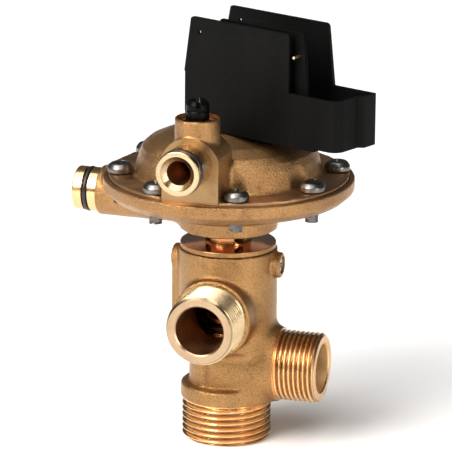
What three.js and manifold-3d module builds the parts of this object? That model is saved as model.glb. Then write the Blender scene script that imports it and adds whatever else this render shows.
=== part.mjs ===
// A diaphragm-operated three-way zone valve for a heating boiler, as an assembly of separate pieces.
//
// Millimetres, +Z up. The origin is on the valve's axis at the end face of the bottom port.
// +X points along the right port and -Y along the front port. The actuator on top is one turned group.
// The valve is shown at rest: stem down, upper disc on its seat, lower disc open.
import * as THREE from "three";
import { mergeVertices } from "three/addons/utils/BufferGeometryUtils.js";
import Module from "manifold-3d";

const wasm = await Module();
wasm.setup();

// ---------------------------------------------------------------- driving dimensions

const GAP = 0.3; // between pieces that touch or slide on each other
const OVERLAP = 0.5; // between solids that are joined into one
const SEAM = 0.01; // between two rods of the same radius, end to end
const CLEAR = 1.0; // that a cut runs past the solid

// Pipe ports. The male pipe threads are plain cylinders here: G1 below, G3/4 in front and on the right.
const BOTTOM_THREAD = { radius: 16.6, endRadius: 15.4, chamfer: 1.2, length: 15.7, bore: 12.4 };
const SIDE_THREAD = { radius: 13.1, endRadius: 12.0, chamfer: 1.1, bore: 9.05 };
const FRONT_PORT = { z: 50.9, reach: 36.2, threadFrom: 21.0, rootRadius: 14.7 };
const RIGHT_PORT = { z: 29.6, reach: 36.9, threadFrom: 21.1, rootRadius: 13.8 };

// Valve body casting. Rods that join a solid start INSIDE it.
const INSIDE = 10.0;
const COLLAR = { radius: 17.15, top: 21.3 };
const COLUMN = { radius: 14.1, top: 33.5 };
const BARREL = { radius: 18.3, bottom: 37.0, top: 73.5 };
const BOSS = { radius: 4.8, z: 67.9, reach: 20.9, screwHole: 2.5, recess: 3.2, recessDepth: 1.0 };
const RIB = { halfWidth: 4.0, reach: 21.7, bottom: 44.0 };

// Seats, and the chambers between them.
const SEAT = { inner: 7.6, outer: 10.2, passage: 8.2 };
const LOWER_WEB = { bottom: 17.2, shoulder: 19.2, top: 21.2, seatBottom: 16.4 };
const UPPER_WEB = { bottom: 38.9, shoulder: 40.2, top: 41.5, seatTop: 42.2 };
const MIDDLE_CHAMBER_RADIUS = 10.0;
const UPPER_CHAMBER_RADIUS = 14.2;
const PLUG_BORE = { radius: 15.3, bottom: 60.0 };

// Stem and valve discs. The stem lifts by TRAVEL.
const TRAVEL = 5.0;
const STEM = { radius: 3.0, bottom: 3.0, top: 98.4 };
const UPPER_SEAL = { outer: 10.5, bottom: UPPER_WEB.seatTop + GAP, thickness: 2.4 };
const UPPER_DISC = { radius: 8.0, bottom: UPPER_SEAL.bottom + UPPER_SEAL.thickness + GAP, thickness: 1.8 };
const LOWER_SEAL = { outer: 10.2, top: LOWER_WEB.seatBottom - GAP - TRAVEL, thickness: 2.4 };
const LOWER_DISC = { radius: 8.5, top: LOWER_SEAL.top - LOWER_SEAL.thickness - GAP, thickness: 2.1 };
const UPPER_DISC_HUB_RISE = 1.8;
const LOCK_NUT = { radius: 4.9, height: 2.4 };

// Turned gland cartridge that closes the barrel, with the neck that carries the actuator.
const CARTRIDGE = { plugRadius: 15.0, plugBottom: 60.3, flangeRadius: 17.8, flangeBottom: 73.8, top: 75.7 };
const CARTRIDGE_RING_GROOVE = { radius: 13.0, bottom: 61.6, top: 63.9 };
const CARTRIDGE_LOCK_GROOVE = { radius: 13.4, bottom: 65.2, top: 70.6 };
const NECK = { radius: 8.65, top: 87.0, grooveRadius: 7.2, grooveBottom: 84.0, grooveTop: 86.2 };
const DRAIN = { radius: 6.0, bottom: 76.0, holeRadius: 2.1, holeZ: 78.4, holes: 4 };
const STEM_GLAND = { radius: 5.2, bottom: 71.0, top: 73.6 };
const BOSS_SCREW = { inset: 0.2, slotHalf: 0.4, slotDepth: 1.2 };

// O-rings: radius of the wire's centre line, and of the wire.
const RING_SIDES = 5;
const GLAND_RING = { centre: 14.15, wire: 0.85 };
const STEM_RING = { centre: 4.25, wire: 0.85 };
const NECK_RING = { centre: 8.1, wire: 0.65 };
const SPIGOT_RING = { centre: 7.5, wire: 0.95 };
const SPINDLE_RING = { centre: 3.2, wire: 0.85 };
const ADJUSTER_RING = { centre: 3.8, wire: 0.85 };

// Actuator.
const ACTUATOR_TURN = -2.0; // degrees about the valve's axis
const HUB = { radius: 18.2, bottom: 80.9, shoulder: 86.8, bore: 8.95, boreTop: 87.3 };
const HOUSING = { radius: 46.4, lipTop: 100.8, lipInner: 44.6, face: 96.9, wallBottom: 96.5 };
const HOUSING_BEVEL = { radius: 43.2, z: 93.7 };
const LOWER_CHAMBER = { floor: 89.9, floorRadius: 24.5, underside: 87.5, radius: 33.4, wallBottom: 96.0 };
const SIDE_SPIGOT = { z: 90.2, reach: 59.0, rootReach: 49.7, boreEnd: 18.0, groove: [55.4, 52.9] };
const SIDE_DUCT_RADIUS = 9.2;
const SPIGOT = { radius: 8.2, bore: 4.45, grooveRadius: 6.5, mouthRadius: 6.4, mouthDepth: 1.6 };

const COVER = { radius: 44.3, bottom: 97.2, clampInner: 37.3, clampZ: 98.5, flangeTop: 102.0 };
const DOME = { radius: 33.1, wallTop: 109.4, footRadius: 34.6, seatRadius: 12.0, seatZ: 119.0 };
const DOME_SHOULDER = { radius: 31.2, z: 112.9 };
const DOME_CROWN = { radius: 23.8, z: 116.6 };
const UPPER_CHAMBER = { radius: 30.5, wallTop: 108.5, ceilingRadius: 14.0, ceiling: 114.5 };
const CHAMBER_SHOULDER = { radius: 28.5, z: 110.8 };
const SCREWS = { count: 8, circle: 40.0, first: 22.5, hole: 2.8, pocketRadius: 7.1, pocketTop: 110.5 };
const SCREW = { radius: 2.45, tip: 90.5, tipRadius: 2.0, tipLength: 0.8 };
const SCREW_HEAD = { radius: 4.75, height: 3.8, crownRadius: 2.85, crownHeight: 1.6, headroom: 1.0 };

const FRONT_BLOCK = { halfWidth: 10.7, face: 43.5, back: 29.0, roundZ: 113.5, roundRadius: 11.5 };
const FRONT_SPIGOT = { z: 115.3, reach: 57.2, groove: [55.2, 52.7] };
const ADJUSTER_BOSS = { centre: 35.5, radius: 8.2, top: 131.0, hole: 7.2, shoulder: 117.7 };
const ADJUSTER_LOWER_BORE = { radius: 4.5, bottom: 104.0 };
const CHAMBER_PASSAGE = { radius: 2.0, z: 106.5 };

// Diaphragm stack.
const DIAPHRAGM = { bottom: 91.9, thickness: 1.0, radius: 37.0, rimBottom: 97.2 };
const FOLD = { inner: 22.5, outer: 32.5, inset: 0.3 };
const LOWER_PLATE = { radius: 21.5, bottom: 90.4, thickness: 1.2 };
const UPPER_PLATE = { radius: 21.8, rim: 1.6, thickness: 1.2, cupHeight: 2.2 };
const DIAPHRAGM_NUT = { radius: 5.8, height: 2.8 };

// Spindle that reports the stem's position, its bush, and the bracket for the switches.
const SPINDLE = { radius: 2.0, bottom: 98.8, top: 129.0 };
const BUSH = { threadRadius: 6.7, upperRadius: 4.9, bottom: 111.5, top: 126.2 };
const BUSH_GLAND = { radius: 4.4, top: 114.2 };
const BRACKET_TURN = -20.0; // degrees, within the actuator
const BRACKET = { bottom: 119.4, floor: 1.6, wall: 1.3, front: -10.4, back: 10.7, left: -12.7, right: 59.2 };
const PLATE_TOP = 160.7;
const TRAY = { top: 139.2, cornerRadius: 4.0, jogWidth: 2.0, jogFrom: 2.0 };
const FRONT_PLATE = { right: 35.3, topLeft: -10.0, kneeLeft: -13.0, kneeZ: 140.0, leftTop: 139.0 };
const BACK_PLATE = { left: -8.6, topLeft: -7.5, shoulderRight: 40.3, topRight: 37.6, rise: 1.0 };
const MIDDLE_PLATE = { front: -6.4, thickness: 1.2, left: 0.4, footRight: 40.9, topRight: 38.8 };
const MIDDLE_PLATE_FOOT = { left: 12.0, top: 127.5 };
const FRONT_HOLE = { u: -6.0, z: 155.4, radius: 0.7 };
const BACK_HOLE = { u: -3.0, z: 157.0, radius: 0.7 };
const BRACKET_NUT = { radius: 8.3, height: 3.2 };
const SWITCH_PIN = { u: 36.8, z: 152.3, radius: 0.55, front: -9.9, clearance: 0.1 };

// Adjusting screw in the boss over the front spigot.
const ADJUSTER_BUSH = { radius: 6.9, bottom: 118.0, top: 128.2, bore: 2.9 };
const ADJUSTER_COLLAR = { radius: 5.2, top: 129.4 };
const ADJUSTER_GLAND = { radius: 5.0, bottom: 121.0, top: 123.6 };
const SNAP_RING = { inner: 5.5, outer: 6.9, bottom: 128.5, thickness: 1.1, opening: 50 };
const NEEDLE = { radius: 2.5, tip: 106.5, shoulder: 111.0, top: 133.0, tipRadius: 0.8 };
const KNOB = { radius: 4.25, bottom: 130.4, top: 137.5, socketTop: 133.3, slotWidth: 1.5, slotDepth: 2.2 };
const KNOB_CROWN = { inset: 1.0, height: 1.2 };

// Springs: mean coil radius, wire radius and turns, with the steps along each turn.
const SPRING_STEPS = 10;
const SPRING_SIDES = 3;
const VALVE_SPRING = { coil: 6.6, wire: 0.6, turns: 4 };
const RETURN_SPRING = { coil: 10.6, wire: 0.75, turns: 4 };

// Facets around a full turn.
const LARGE = 32;
const MEDIUM = 20;
const SMALL = 12;
const TINY = 8;

// ---------------------------------------------------------------- materials

function metal(color, roughness) {
  return new THREE.MeshStandardMaterial({ color, roughness, metalness: 1.0 });
}

function dull(color, roughness) {
  return new THREE.MeshStandardMaterial({ color, roughness, metalness: 0.0 });
}

const castBrass = metal(0xb98a54, 0.55);
const turnedBrass = metal(0xd9a066, 0.25);
const copperRing = metal(0xc9825a, 0.35);
const springSteel = metal(0x9a9a9c, 0.3);
const zincSteel = metal(0x6d6a66, 0.4);
const blackRubber = dull(0x141414, 0.6);
const blackPlastic = dull(0x1a1a1b, 0.65);

// ---------------------------------------------------------------- solids

// A closed geometry as a manifold-3d solid, without the zero-area facets that a lathe leaves on its axis.
function solidOf(geometry) {
  const plain = geometry.clone();
  plain.deleteAttribute("normal");
  plain.deleteAttribute("uv");
  const merged = mergeVertices(plain, 1e-4);
  const corners = merged.index.array;
  const kept = [];
  for (let i = 0; i < corners.length; i += 3) {
    const [a, b, c] = [corners[i], corners[i + 1], corners[i + 2]];
    if (a !== b && b !== c && c !== a) kept.push(a, b, c);
  }
  const vertProperties = new Float32Array(merged.attributes.position.array);
  return new wasm.Manifold(new wasm.Mesh({ numProp: 3, vertProperties, triVerts: new Uint32Array(kept) }));
}

function geometryOf(solid) {
  const { vertProperties, triVerts } = solid.getMesh();
  const geometry = new THREE.BufferGeometry();
  geometry.setAttribute("position", new THREE.BufferAttribute(new Float32Array(vertProperties), 3));
  geometry.setIndex(new THREE.BufferAttribute(new Uint32Array(triVerts), 1));
  geometry.computeVertexNormals();
  return geometry;
}

// Turns a closed outline of [radius, z] corners about the Z axis, whichever way round it is drawn.
function revolve(outline, segments = LARGE) {
  let area = 0;
  outline.forEach(([r, z], i) => {
    const [nextR, nextZ] = outline[(i + 1) % outline.length];
    area += r * nextZ - nextR * z;
  });
  const corners = area > 0 ? outline : [...outline].reverse();
  const points = [...corners, corners[0]].map(([r, z]) => new THREE.Vector2(r, z));
  const solid = solidOf(new THREE.LatheGeometry(points, segments).rotateX(Math.PI / 2));
  return solid;
}

// A cylinder, or a cone frustum where endRadius is given, between two points.
function rod(radius, start, end, segments = MEDIUM, endRadius = radius) {
  const from = new THREE.Vector3(...start);
  const to = new THREE.Vector3(...end);
  const along = to.clone().sub(from);
  const geometry = new THREE.CylinderGeometry(endRadius, radius, along.length(), segments);
  const up = new THREE.Vector3(0, 1, 0);
  geometry.applyQuaternion(new THREE.Quaternion().setFromUnitVectors(up, along.normalize()));
  const middle = from.add(to).multiplyScalar(0.5);
  return solidOf(geometry.translate(middle.x, middle.y, middle.z));
}

function block(low, high) {
  const size = low.map((value, i) => high[i] - value);
  const middle = low.map((value, i) => (high[i] + value) / 2);
  return solidOf(new THREE.BoxGeometry(...size).translate(...middle));
}

// A flat ring with a square section, from bottom to bottom + height.
function ring(inner, outer, bottom, height, segments = MEDIUM) {
  const top = bottom + height;
  return revolve([[inner, bottom], [outer, bottom], [outer, top], [inner, top]], segments);
}

// A hexagon nut with a plain bore.
function nut(radius, bore, bottom, height) {
  const hexagon = rod(radius, [0, 0, bottom], [0, 0, bottom + height], 6);
  return hexagon.subtract(rod(bore, [0, 0, bottom - CLEAR], [0, 0, bottom + height + CLEAR], SMALL));
}

// An upright plate: an outline of [u, z] corners, from the front face at y = front backwards.
function plate(outline, front, thickness) {
  const shape = new THREE.Shape(outline.map(([u, z]) => new THREE.Vector2(u, z)));
  const geometry = new THREE.ExtrudeGeometry(shape, { depth: thickness, bevelEnabled: false });
  return solidOf(geometry.rotateX(Math.PI / 2).translate(0, front + thickness, 0));
}

function union(...solids) {
  return solids.reduce((whole, next) => whole.add(next));
}

// ---------------------------------------------------------------- meshes

function piece(name, solid, material) {
  const mesh = new THREE.Mesh(geometryOf(solid), material);
  mesh.name = name;
  return mesh;
}

function oRing(name, { centre, wire }, z) {
  const mesh = new THREE.Mesh(new THREE.TorusGeometry(centre, wire, RING_SIDES, MEDIUM), blackRubber);
  mesh.name = name;
  mesh.position.z = z;
  return mesh;
}

class Helix extends THREE.Curve {
  constructor(radius, bottom, top, turns) {
    super();
    Object.assign(this, { radius, bottom, top, turns });
  }

  getPoint(t, target = new THREE.Vector3()) {
    const angle = t * this.turns * 2 * Math.PI;
    const z = THREE.MathUtils.lerp(this.bottom, this.top, t);
    return target.set(this.radius * Math.cos(angle), this.radius * Math.sin(angle), z);
  }
}

// A coil spring between two flat seats, clear of both by GAP.
function spring(name, { coil, wire, turns }, bottom, top) {
  const path = new Helix(coil, bottom + wire + GAP, top - wire - GAP, turns);
  const section = new THREE.Shape().absarc(0, 0, wire, 0, 2 * Math.PI);
  const steps = turns * SPRING_STEPS;
  const options = { steps, extrudePath: path, curveSegments: SPRING_SIDES, bevelEnabled: false };
  return piece(name, solidOf(new THREE.ExtrudeGeometry(section, options)), springSteel);
}

// ---------------------------------------------------------------- valve body and its inner pieces

function valveBody() {
  const { radius, endRadius, chamfer, length, bore } = BOTTOM_THREAD;
  const casting = revolve([
    [0, 0],
    [endRadius, 0],
    [radius, chamfer],
    [radius, length],
    [COLLAR.radius, length],
    [COLLAR.radius, COLLAR.top],
    [COLUMN.radius, COLLAR.top],
    [COLUMN.radius, COLUMN.top],
    [BARREL.radius, BARREL.bottom],
    [BARREL.radius, BARREL.top],
    [0, BARREL.top],
  ]);
  const port = (place, axis) => {
    const at = (distance) => axis.map((value) => value * distance).concat(place.z);
    const threadEnd = place.reach - SIDE_THREAD.chamfer;
    return union(
      rod(place.rootRadius, at(0), at(place.threadFrom)),
      rod(SIDE_THREAD.radius, at(place.threadFrom - CLEAR), at(threadEnd)),
      rod(SIDE_THREAD.radius, at(threadEnd - SEAM), at(place.reach), MEDIUM, SIDE_THREAD.endRadius),
    );
  };
  const boss = (side) => rod(BOSS.radius, [side * INSIDE, 0, BOSS.z], [side * BOSS.reach, 0, BOSS.z], SMALL);
  const ribCentre = -(RIB.reach - RIB.halfWidth);
  const rib = rod(RIB.halfWidth, [ribCentre, 0, RIB.bottom], [ribCentre, 0, BOSS.z], SMALL);
  const ports = union(port(FRONT_PORT, [0, -1]), port(RIGHT_PORT, [1, 0]));
  const outside = union(casting, ports, boss(1), boss(-1), rib);

  const waterway = revolve([
    [0, -CLEAR],
    [bore, -CLEAR],
    [bore, LOWER_WEB.bottom],
    [SEAT.outer + GAP, LOWER_WEB.bottom],
    [SEAT.outer + GAP, LOWER_WEB.shoulder],
    [SEAT.passage, LOWER_WEB.shoulder],
    [SEAT.passage, LOWER_WEB.top],
    [MIDDLE_CHAMBER_RADIUS, LOWER_WEB.top],
    [MIDDLE_CHAMBER_RADIUS, UPPER_WEB.bottom],
    [SEAT.passage, UPPER_WEB.bottom],
    [SEAT.passage, UPPER_WEB.shoulder],
    [SEAT.outer + GAP, UPPER_WEB.shoulder],
    [SEAT.outer + GAP, UPPER_WEB.top],
    [UPPER_CHAMBER_RADIUS, UPPER_WEB.top],
    [UPPER_CHAMBER_RADIUS, PLUG_BORE.bottom],
    [PLUG_BORE.radius, PLUG_BORE.bottom],
    [PLUG_BORE.radius, BARREL.top + CLEAR],
    [0, BARREL.top + CLEAR],
  ]);
  const frontEnd = -(FRONT_PORT.reach + CLEAR);
  const rightEnd = RIGHT_PORT.reach + CLEAR;
  const frontBore = rod(SIDE_THREAD.bore, [0, 0, FRONT_PORT.z], [0, frontEnd, FRONT_PORT.z]);
  const rightBore = rod(SIDE_THREAD.bore, [0, 0, RIGHT_PORT.z], [rightEnd, 0, RIGHT_PORT.z]);
  const holeReach = BOSS.reach + CLEAR;
  const screwHoles = rod(BOSS.screwHole, [-holeReach, 0, BOSS.z], [holeReach, 0, BOSS.z], SMALL);
  const recess = (side) => {
    const floor = BOSS.reach - BOSS.recessDepth;
    return rod(BOSS.recess, [side * floor, 0, BOSS.z], [side * holeReach, 0, BOSS.z], SMALL);
  };
  return outside
    .subtract(waterway)
    .subtract(frontBore)
    .subtract(rightBore)
    .subtract(screwHoles)
    .subtract(recess(1))
    .subtract(recess(-1));
}

// A turned plug that fills the barrel's mouth. Its neck holds the actuator and drains through side holes.
function glandCartridge() {
  const bore = STEM.radius + GAP;
  const turned = revolve([
    [bore, CARTRIDGE.plugBottom],
    [CARTRIDGE.plugRadius, CARTRIDGE.plugBottom],
    [CARTRIDGE.plugRadius, CARTRIDGE_RING_GROOVE.bottom],
    [CARTRIDGE_RING_GROOVE.radius, CARTRIDGE_RING_GROOVE.bottom],
    [CARTRIDGE_RING_GROOVE.radius, CARTRIDGE_RING_GROOVE.top],
    [CARTRIDGE.plugRadius, CARTRIDGE_RING_GROOVE.top],
    [CARTRIDGE.plugRadius, CARTRIDGE_LOCK_GROOVE.bottom],
    [CARTRIDGE_LOCK_GROOVE.radius, CARTRIDGE_LOCK_GROOVE.bottom],
    [CARTRIDGE_LOCK_GROOVE.radius, CARTRIDGE_LOCK_GROOVE.top],
    [CARTRIDGE.plugRadius, CARTRIDGE_LOCK_GROOVE.top],
    [CARTRIDGE.plugRadius, CARTRIDGE.flangeBottom],
    [CARTRIDGE.flangeRadius, CARTRIDGE.flangeBottom],
    [CARTRIDGE.flangeRadius, CARTRIDGE.top],
    [NECK.radius, CARTRIDGE.top],
    [NECK.radius, NECK.grooveBottom],
    [NECK.grooveRadius, NECK.grooveBottom],
    [NECK.grooveRadius, NECK.grooveTop],
    [NECK.radius, NECK.grooveTop],
    [NECK.radius, NECK.top],
    [DRAIN.radius, NECK.top],
    [DRAIN.radius, DRAIN.bottom],
    [bore, DRAIN.bottom],
    [bore, STEM_GLAND.top],
    [STEM_GLAND.radius, STEM_GLAND.top],
    [STEM_GLAND.radius, STEM_GLAND.bottom],
    [bore, STEM_GLAND.bottom],
  ], MEDIUM);
  let drained = turned;
  for (let i = 0; i < DRAIN.holes; i += 1) {
    const angle = (2 * Math.PI * (i + 0.5)) / DRAIN.holes;
    const at = (distance) => [distance * Math.cos(angle), distance * Math.sin(angle), DRAIN.holeZ];
    const hole = rod(DRAIN.holeRadius, at(DRAIN.radius - CLEAR), at(NECK.radius + CLEAR), TINY);
    drained = drained.subtract(hole);
  }
  return drained;
}

// A grub screw in a side boss, whose tip stands in the cartridge's lock groove.
function bossScrew(side) {
  const at = (distance) => [side * distance, 0, BOSS.z];
  const tip = CARTRIDGE_LOCK_GROOVE.radius + GAP;
  const { inset, slotHalf, slotDepth } = BOSS_SCREW;
  const head = BOSS.reach - BOSS.recessDepth - inset;
  const shank = rod(BOSS.screwHole - GAP, at(tip), at(head), SMALL);
  const ends = [head - slotDepth, head + CLEAR].map((distance) => side * distance).sort((a, b) => a - b);
  const slot = block([ends[0], -BOSS.radius, BOSS.z - slotHalf], [ends[1], BOSS.radius, BOSS.z + slotHalf]);
  return shank.subtract(slot);
}

function bodyPieces() {
  const seatHeight = UPPER_WEB.seatTop - UPPER_WEB.shoulder - GAP;
  const lowerSeatHeight = LOWER_WEB.shoulder - GAP - LOWER_WEB.seatBottom;
  const group = new THREE.Group();
  const grooveMiddle = (CARTRIDGE_RING_GROOVE.bottom + CARTRIDGE_RING_GROOVE.top) / 2;
  group.add(
    piece("valve_body", valveBody(), castBrass),
    piece("upper_seat", ring(SEAT.inner, SEAT.outer, UPPER_WEB.shoulder + GAP, seatHeight), turnedBrass),
    piece("lower_seat", ring(SEAT.inner, SEAT.outer, LOWER_WEB.seatBottom, lowerSeatHeight), turnedBrass),
    piece("gland_cartridge", glandCartridge(), turnedBrass),
    oRing("gland_oring", GLAND_RING, grooveMiddle),
    oRing("stem_oring", STEM_RING, (STEM_GLAND.bottom + STEM_GLAND.top) / 2),
    oRing("neck_oring", NECK_RING, (NECK.grooveBottom + NECK.grooveTop) / 2),
    piece("boss_screw_right", bossScrew(1), zincSteel),
    piece("boss_screw_left", bossScrew(-1), zincSteel),
  );
  return group;
}

// ---------------------------------------------------------------- everything that lifts with the stem

function stemPieces() {
  const hole = STEM.radius + GAP;
  const upperDiscTop = UPPER_DISC.bottom + UPPER_DISC.thickness;
  const upperDisc = union(
    ring(hole, UPPER_DISC.radius, UPPER_DISC.bottom, UPPER_DISC.thickness),
    ring(hole, LOCK_NUT.radius, upperDiscTop - OVERLAP, UPPER_DISC_HUB_RISE + OVERLAP),
  );
  const lowerDiscBottom = LOWER_DISC.top - LOWER_DISC.thickness;
  const lowerSealBottom = LOWER_SEAL.top - LOWER_SEAL.thickness;
  const upperPlateBottom = DIAPHRAGM.bottom + DIAPHRAGM.thickness + GAP;
  const upperPlateTop = upperPlateBottom + UPPER_PLATE.thickness;
  const upperPlate = union(
    ring(hole, UPPER_PLATE.radius, upperPlateBottom, UPPER_PLATE.thickness),
    ring(UPPER_PLATE.radius - UPPER_PLATE.rim, UPPER_PLATE.radius, upperPlateBottom, UPPER_PLATE.cupHeight),
  );
  const lowerNutBottom = lowerDiscBottom - GAP - LOCK_NUT.height;
  const upperNut = nut(DIAPHRAGM_NUT.radius, hole, upperPlateTop + GAP, DIAPHRAGM_NUT.height);
  const lowerNut = nut(LOCK_NUT.radius, hole, lowerNutBottom, LOCK_NUT.height);
  const upperSeal = ring(hole, UPPER_SEAL.outer, UPPER_SEAL.bottom, UPPER_SEAL.thickness);
  const lowerSeal = ring(hole, LOWER_SEAL.outer, lowerSealBottom, LOWER_SEAL.thickness);
  const lowerDisc = ring(hole, LOWER_DISC.radius, lowerDiscBottom, LOWER_DISC.thickness);
  const lowerPlate = ring(hole, LOWER_PLATE.radius, LOWER_PLATE.bottom, LOWER_PLATE.thickness);
  const stem = rod(STEM.radius, [0, 0, STEM.bottom], [0, 0, STEM.top], SMALL);
  const spindle = rod(SPINDLE.radius, [0, 0, SPINDLE.bottom], [0, 0, SPINDLE.top], TINY);
  const group = new THREE.Group();
  group.add(
    piece("valve_stem", stem, turnedBrass),
    piece("upper_disc_seal", upperSeal, blackRubber),
    piece("upper_disc", upperDisc, turnedBrass),
    piece("lower_disc_seal", lowerSeal, blackRubber),
    piece("lower_disc", lowerDisc, turnedBrass),
    piece("lower_disc_nut", lowerNut, turnedBrass),
    piece("diaphragm_plate_lower", lowerPlate, zincSteel),
    piece("diaphragm_plate_upper", upperPlate, zincSteel),
    piece("diaphragm_nut", upperNut, turnedBrass),
    piece("switch_spindle", spindle, springSteel),
  );
  return group;
}

// The diaphragm is clamped at its rim and between its plates, and folds in the ring between.
function diaphragm() {
  const { bottom, thickness, rimBottom, radius } = DIAPHRAGM;
  const hole = STEM.radius + GAP;
  return revolve([
    [hole, bottom],
    [FOLD.inner, bottom],
    [FOLD.outer, rimBottom],
    [radius, rimBottom],
    [radius, rimBottom + thickness],
    [FOLD.outer - FOLD.inset, rimBottom + thickness],
    [FOLD.inner - FOLD.inset, bottom + thickness],
    [hole, bottom + thickness],
  ]);
}

function deformingPieces() {
  const upperDiscTop = UPPER_DISC.bottom + UPPER_DISC.thickness;
  const upperPlateTop = DIAPHRAGM.bottom + DIAPHRAGM.thickness + GAP + UPPER_PLATE.thickness;
  const group = new THREE.Group();
  group.add(
    piece("diaphragm", diaphragm(), blackRubber),
    spring("valve_spring", VALVE_SPRING, upperDiscTop, CARTRIDGE.plugBottom),
    spring("return_spring", RETURN_SPRING, upperPlateTop, UPPER_CHAMBER.ceiling),
  );
  return group;
}

// ---------------------------------------------------------------- actuator housing

// What is cut from a hose spigot: a ring groove, the bore and its chamfered mouth.
// place(distance) gives the point at that distance from the valve's axis on the spigot's axis.
function spigotCuts(place, { reach, groove }, boreEnd) {
  const grooveCore = rod(SPIGOT.grooveRadius, place(groove[0] + CLEAR), place(groove[1] - CLEAR));
  const grooveRing = rod(SPIGOT.radius + CLEAR, place(groove[0]), place(groove[1])).subtract(grooveCore);
  const bore = rod(SPIGOT.bore, place(boreEnd), place(reach + CLEAR));
  const mouth = rod(SPIGOT.bore, place(reach - SPIGOT.mouthDepth), place(reach), MEDIUM, SPIGOT.mouthRadius);
  const mouthEnd = rod(SPIGOT.mouthRadius, place(reach - SEAM), place(reach + CLEAR));
  return union(grooveRing, bore, mouth, mouthEnd);
}

// Where the cover's screws are, as [x, y] in the actuator's frame.
function screwPlaces() {
  return Array.from({ length: SCREWS.count }, (_, i) => {
    const angle = THREE.MathUtils.degToRad(SCREWS.first + (360 * i) / SCREWS.count);
    return [SCREWS.circle * Math.sin(angle), -SCREWS.circle * Math.cos(angle)];
  });
}

function lowerHousing() {
  const place = (distance) => [-distance, 0, SIDE_SPIGOT.z];
  const dish = revolve([
    [0, HUB.bottom],
    [HUB.radius, HUB.bottom],
    [HUB.radius, HUB.shoulder],
    [LOWER_CHAMBER.floorRadius, LOWER_CHAMBER.underside],
    [HOUSING_BEVEL.radius, HOUSING_BEVEL.z],
    [HOUSING.radius, HOUSING.wallBottom],
    [HOUSING.radius, HOUSING.lipTop],
    [0, HOUSING.lipTop],
  ]);
  const spigot = union(
    rod(SIDE_DUCT_RADIUS, place(INSIDE), place(SIDE_SPIGOT.rootReach)),
    rod(SPIGOT.radius, place(SIDE_SPIGOT.rootReach - CLEAR), place(SIDE_SPIGOT.reach)),
  );
  const inside = revolve([
    [0, LOWER_CHAMBER.floor],
    [LOWER_CHAMBER.floorRadius, LOWER_CHAMBER.floor],
    [LOWER_CHAMBER.radius, LOWER_CHAMBER.wallBottom],
    [LOWER_CHAMBER.radius, HOUSING.face],
    [HOUSING.lipInner, HOUSING.face],
    [HOUSING.lipInner, HOUSING.lipTop + CLEAR],
    [0, HOUSING.lipTop + CLEAR],
  ]);
  const neckSocket = rod(HUB.bore, [0, 0, HUB.bottom - CLEAR], [0, 0, HUB.boreTop]);
  const stemHoleTop = LOWER_CHAMBER.floor + CLEAR;
  const stemHole = rod(STEM.radius + GAP, [0, 0, HUB.boreTop - CLEAR], [0, 0, stemHoleTop], SMALL);
  let housing = union(dish, spigot)
    .subtract(inside)
    .subtract(neckSocket)
    .subtract(stemHole)
    .subtract(spigotCuts(place, SIDE_SPIGOT, SIDE_SPIGOT.boreEnd));
  for (const [x, y] of screwPlaces()) {
    housing = housing.subtract(rod(SCREWS.hole, [x, y, HUB.bottom], [x, y, HOUSING.face + CLEAR], TINY));
  }
  return housing;
}

// The front block carries the front spigot and, above it, the upright boss of the adjusting screw.
function frontBlock() {
  const { halfWidth, face, back, roundZ, roundRadius } = FRONT_BLOCK;
  const flankBottom = HOUSING.lipTop + GAP;
  const flank = block([-halfWidth, -face, flankBottom], [halfWidth, -back, roundZ]);
  const widthEnd = [halfWidth, -back + CLEAR, ADJUSTER_BOSS.top];
  const width = block([-halfWidth, -face - CLEAR, flankBottom], widthEnd);
  const round = rod(roundRadius, [0, -back, roundZ], [0, -face, roundZ]).intersect(width);
  const centre = -ADJUSTER_BOSS.centre;
  const bossBottom = COVER.flangeTop - CLEAR;
  const boss = rod(ADJUSTER_BOSS.radius, [0, centre, bossBottom], [0, centre, ADJUSTER_BOSS.top]);
  const spigotRoot = [0, -face + CLEAR, FRONT_SPIGOT.z];
  const spigot = rod(SPIGOT.radius, spigotRoot, [0, -FRONT_SPIGOT.reach, FRONT_SPIGOT.z]);
  return union(flank, round, boss, spigot);
}

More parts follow.
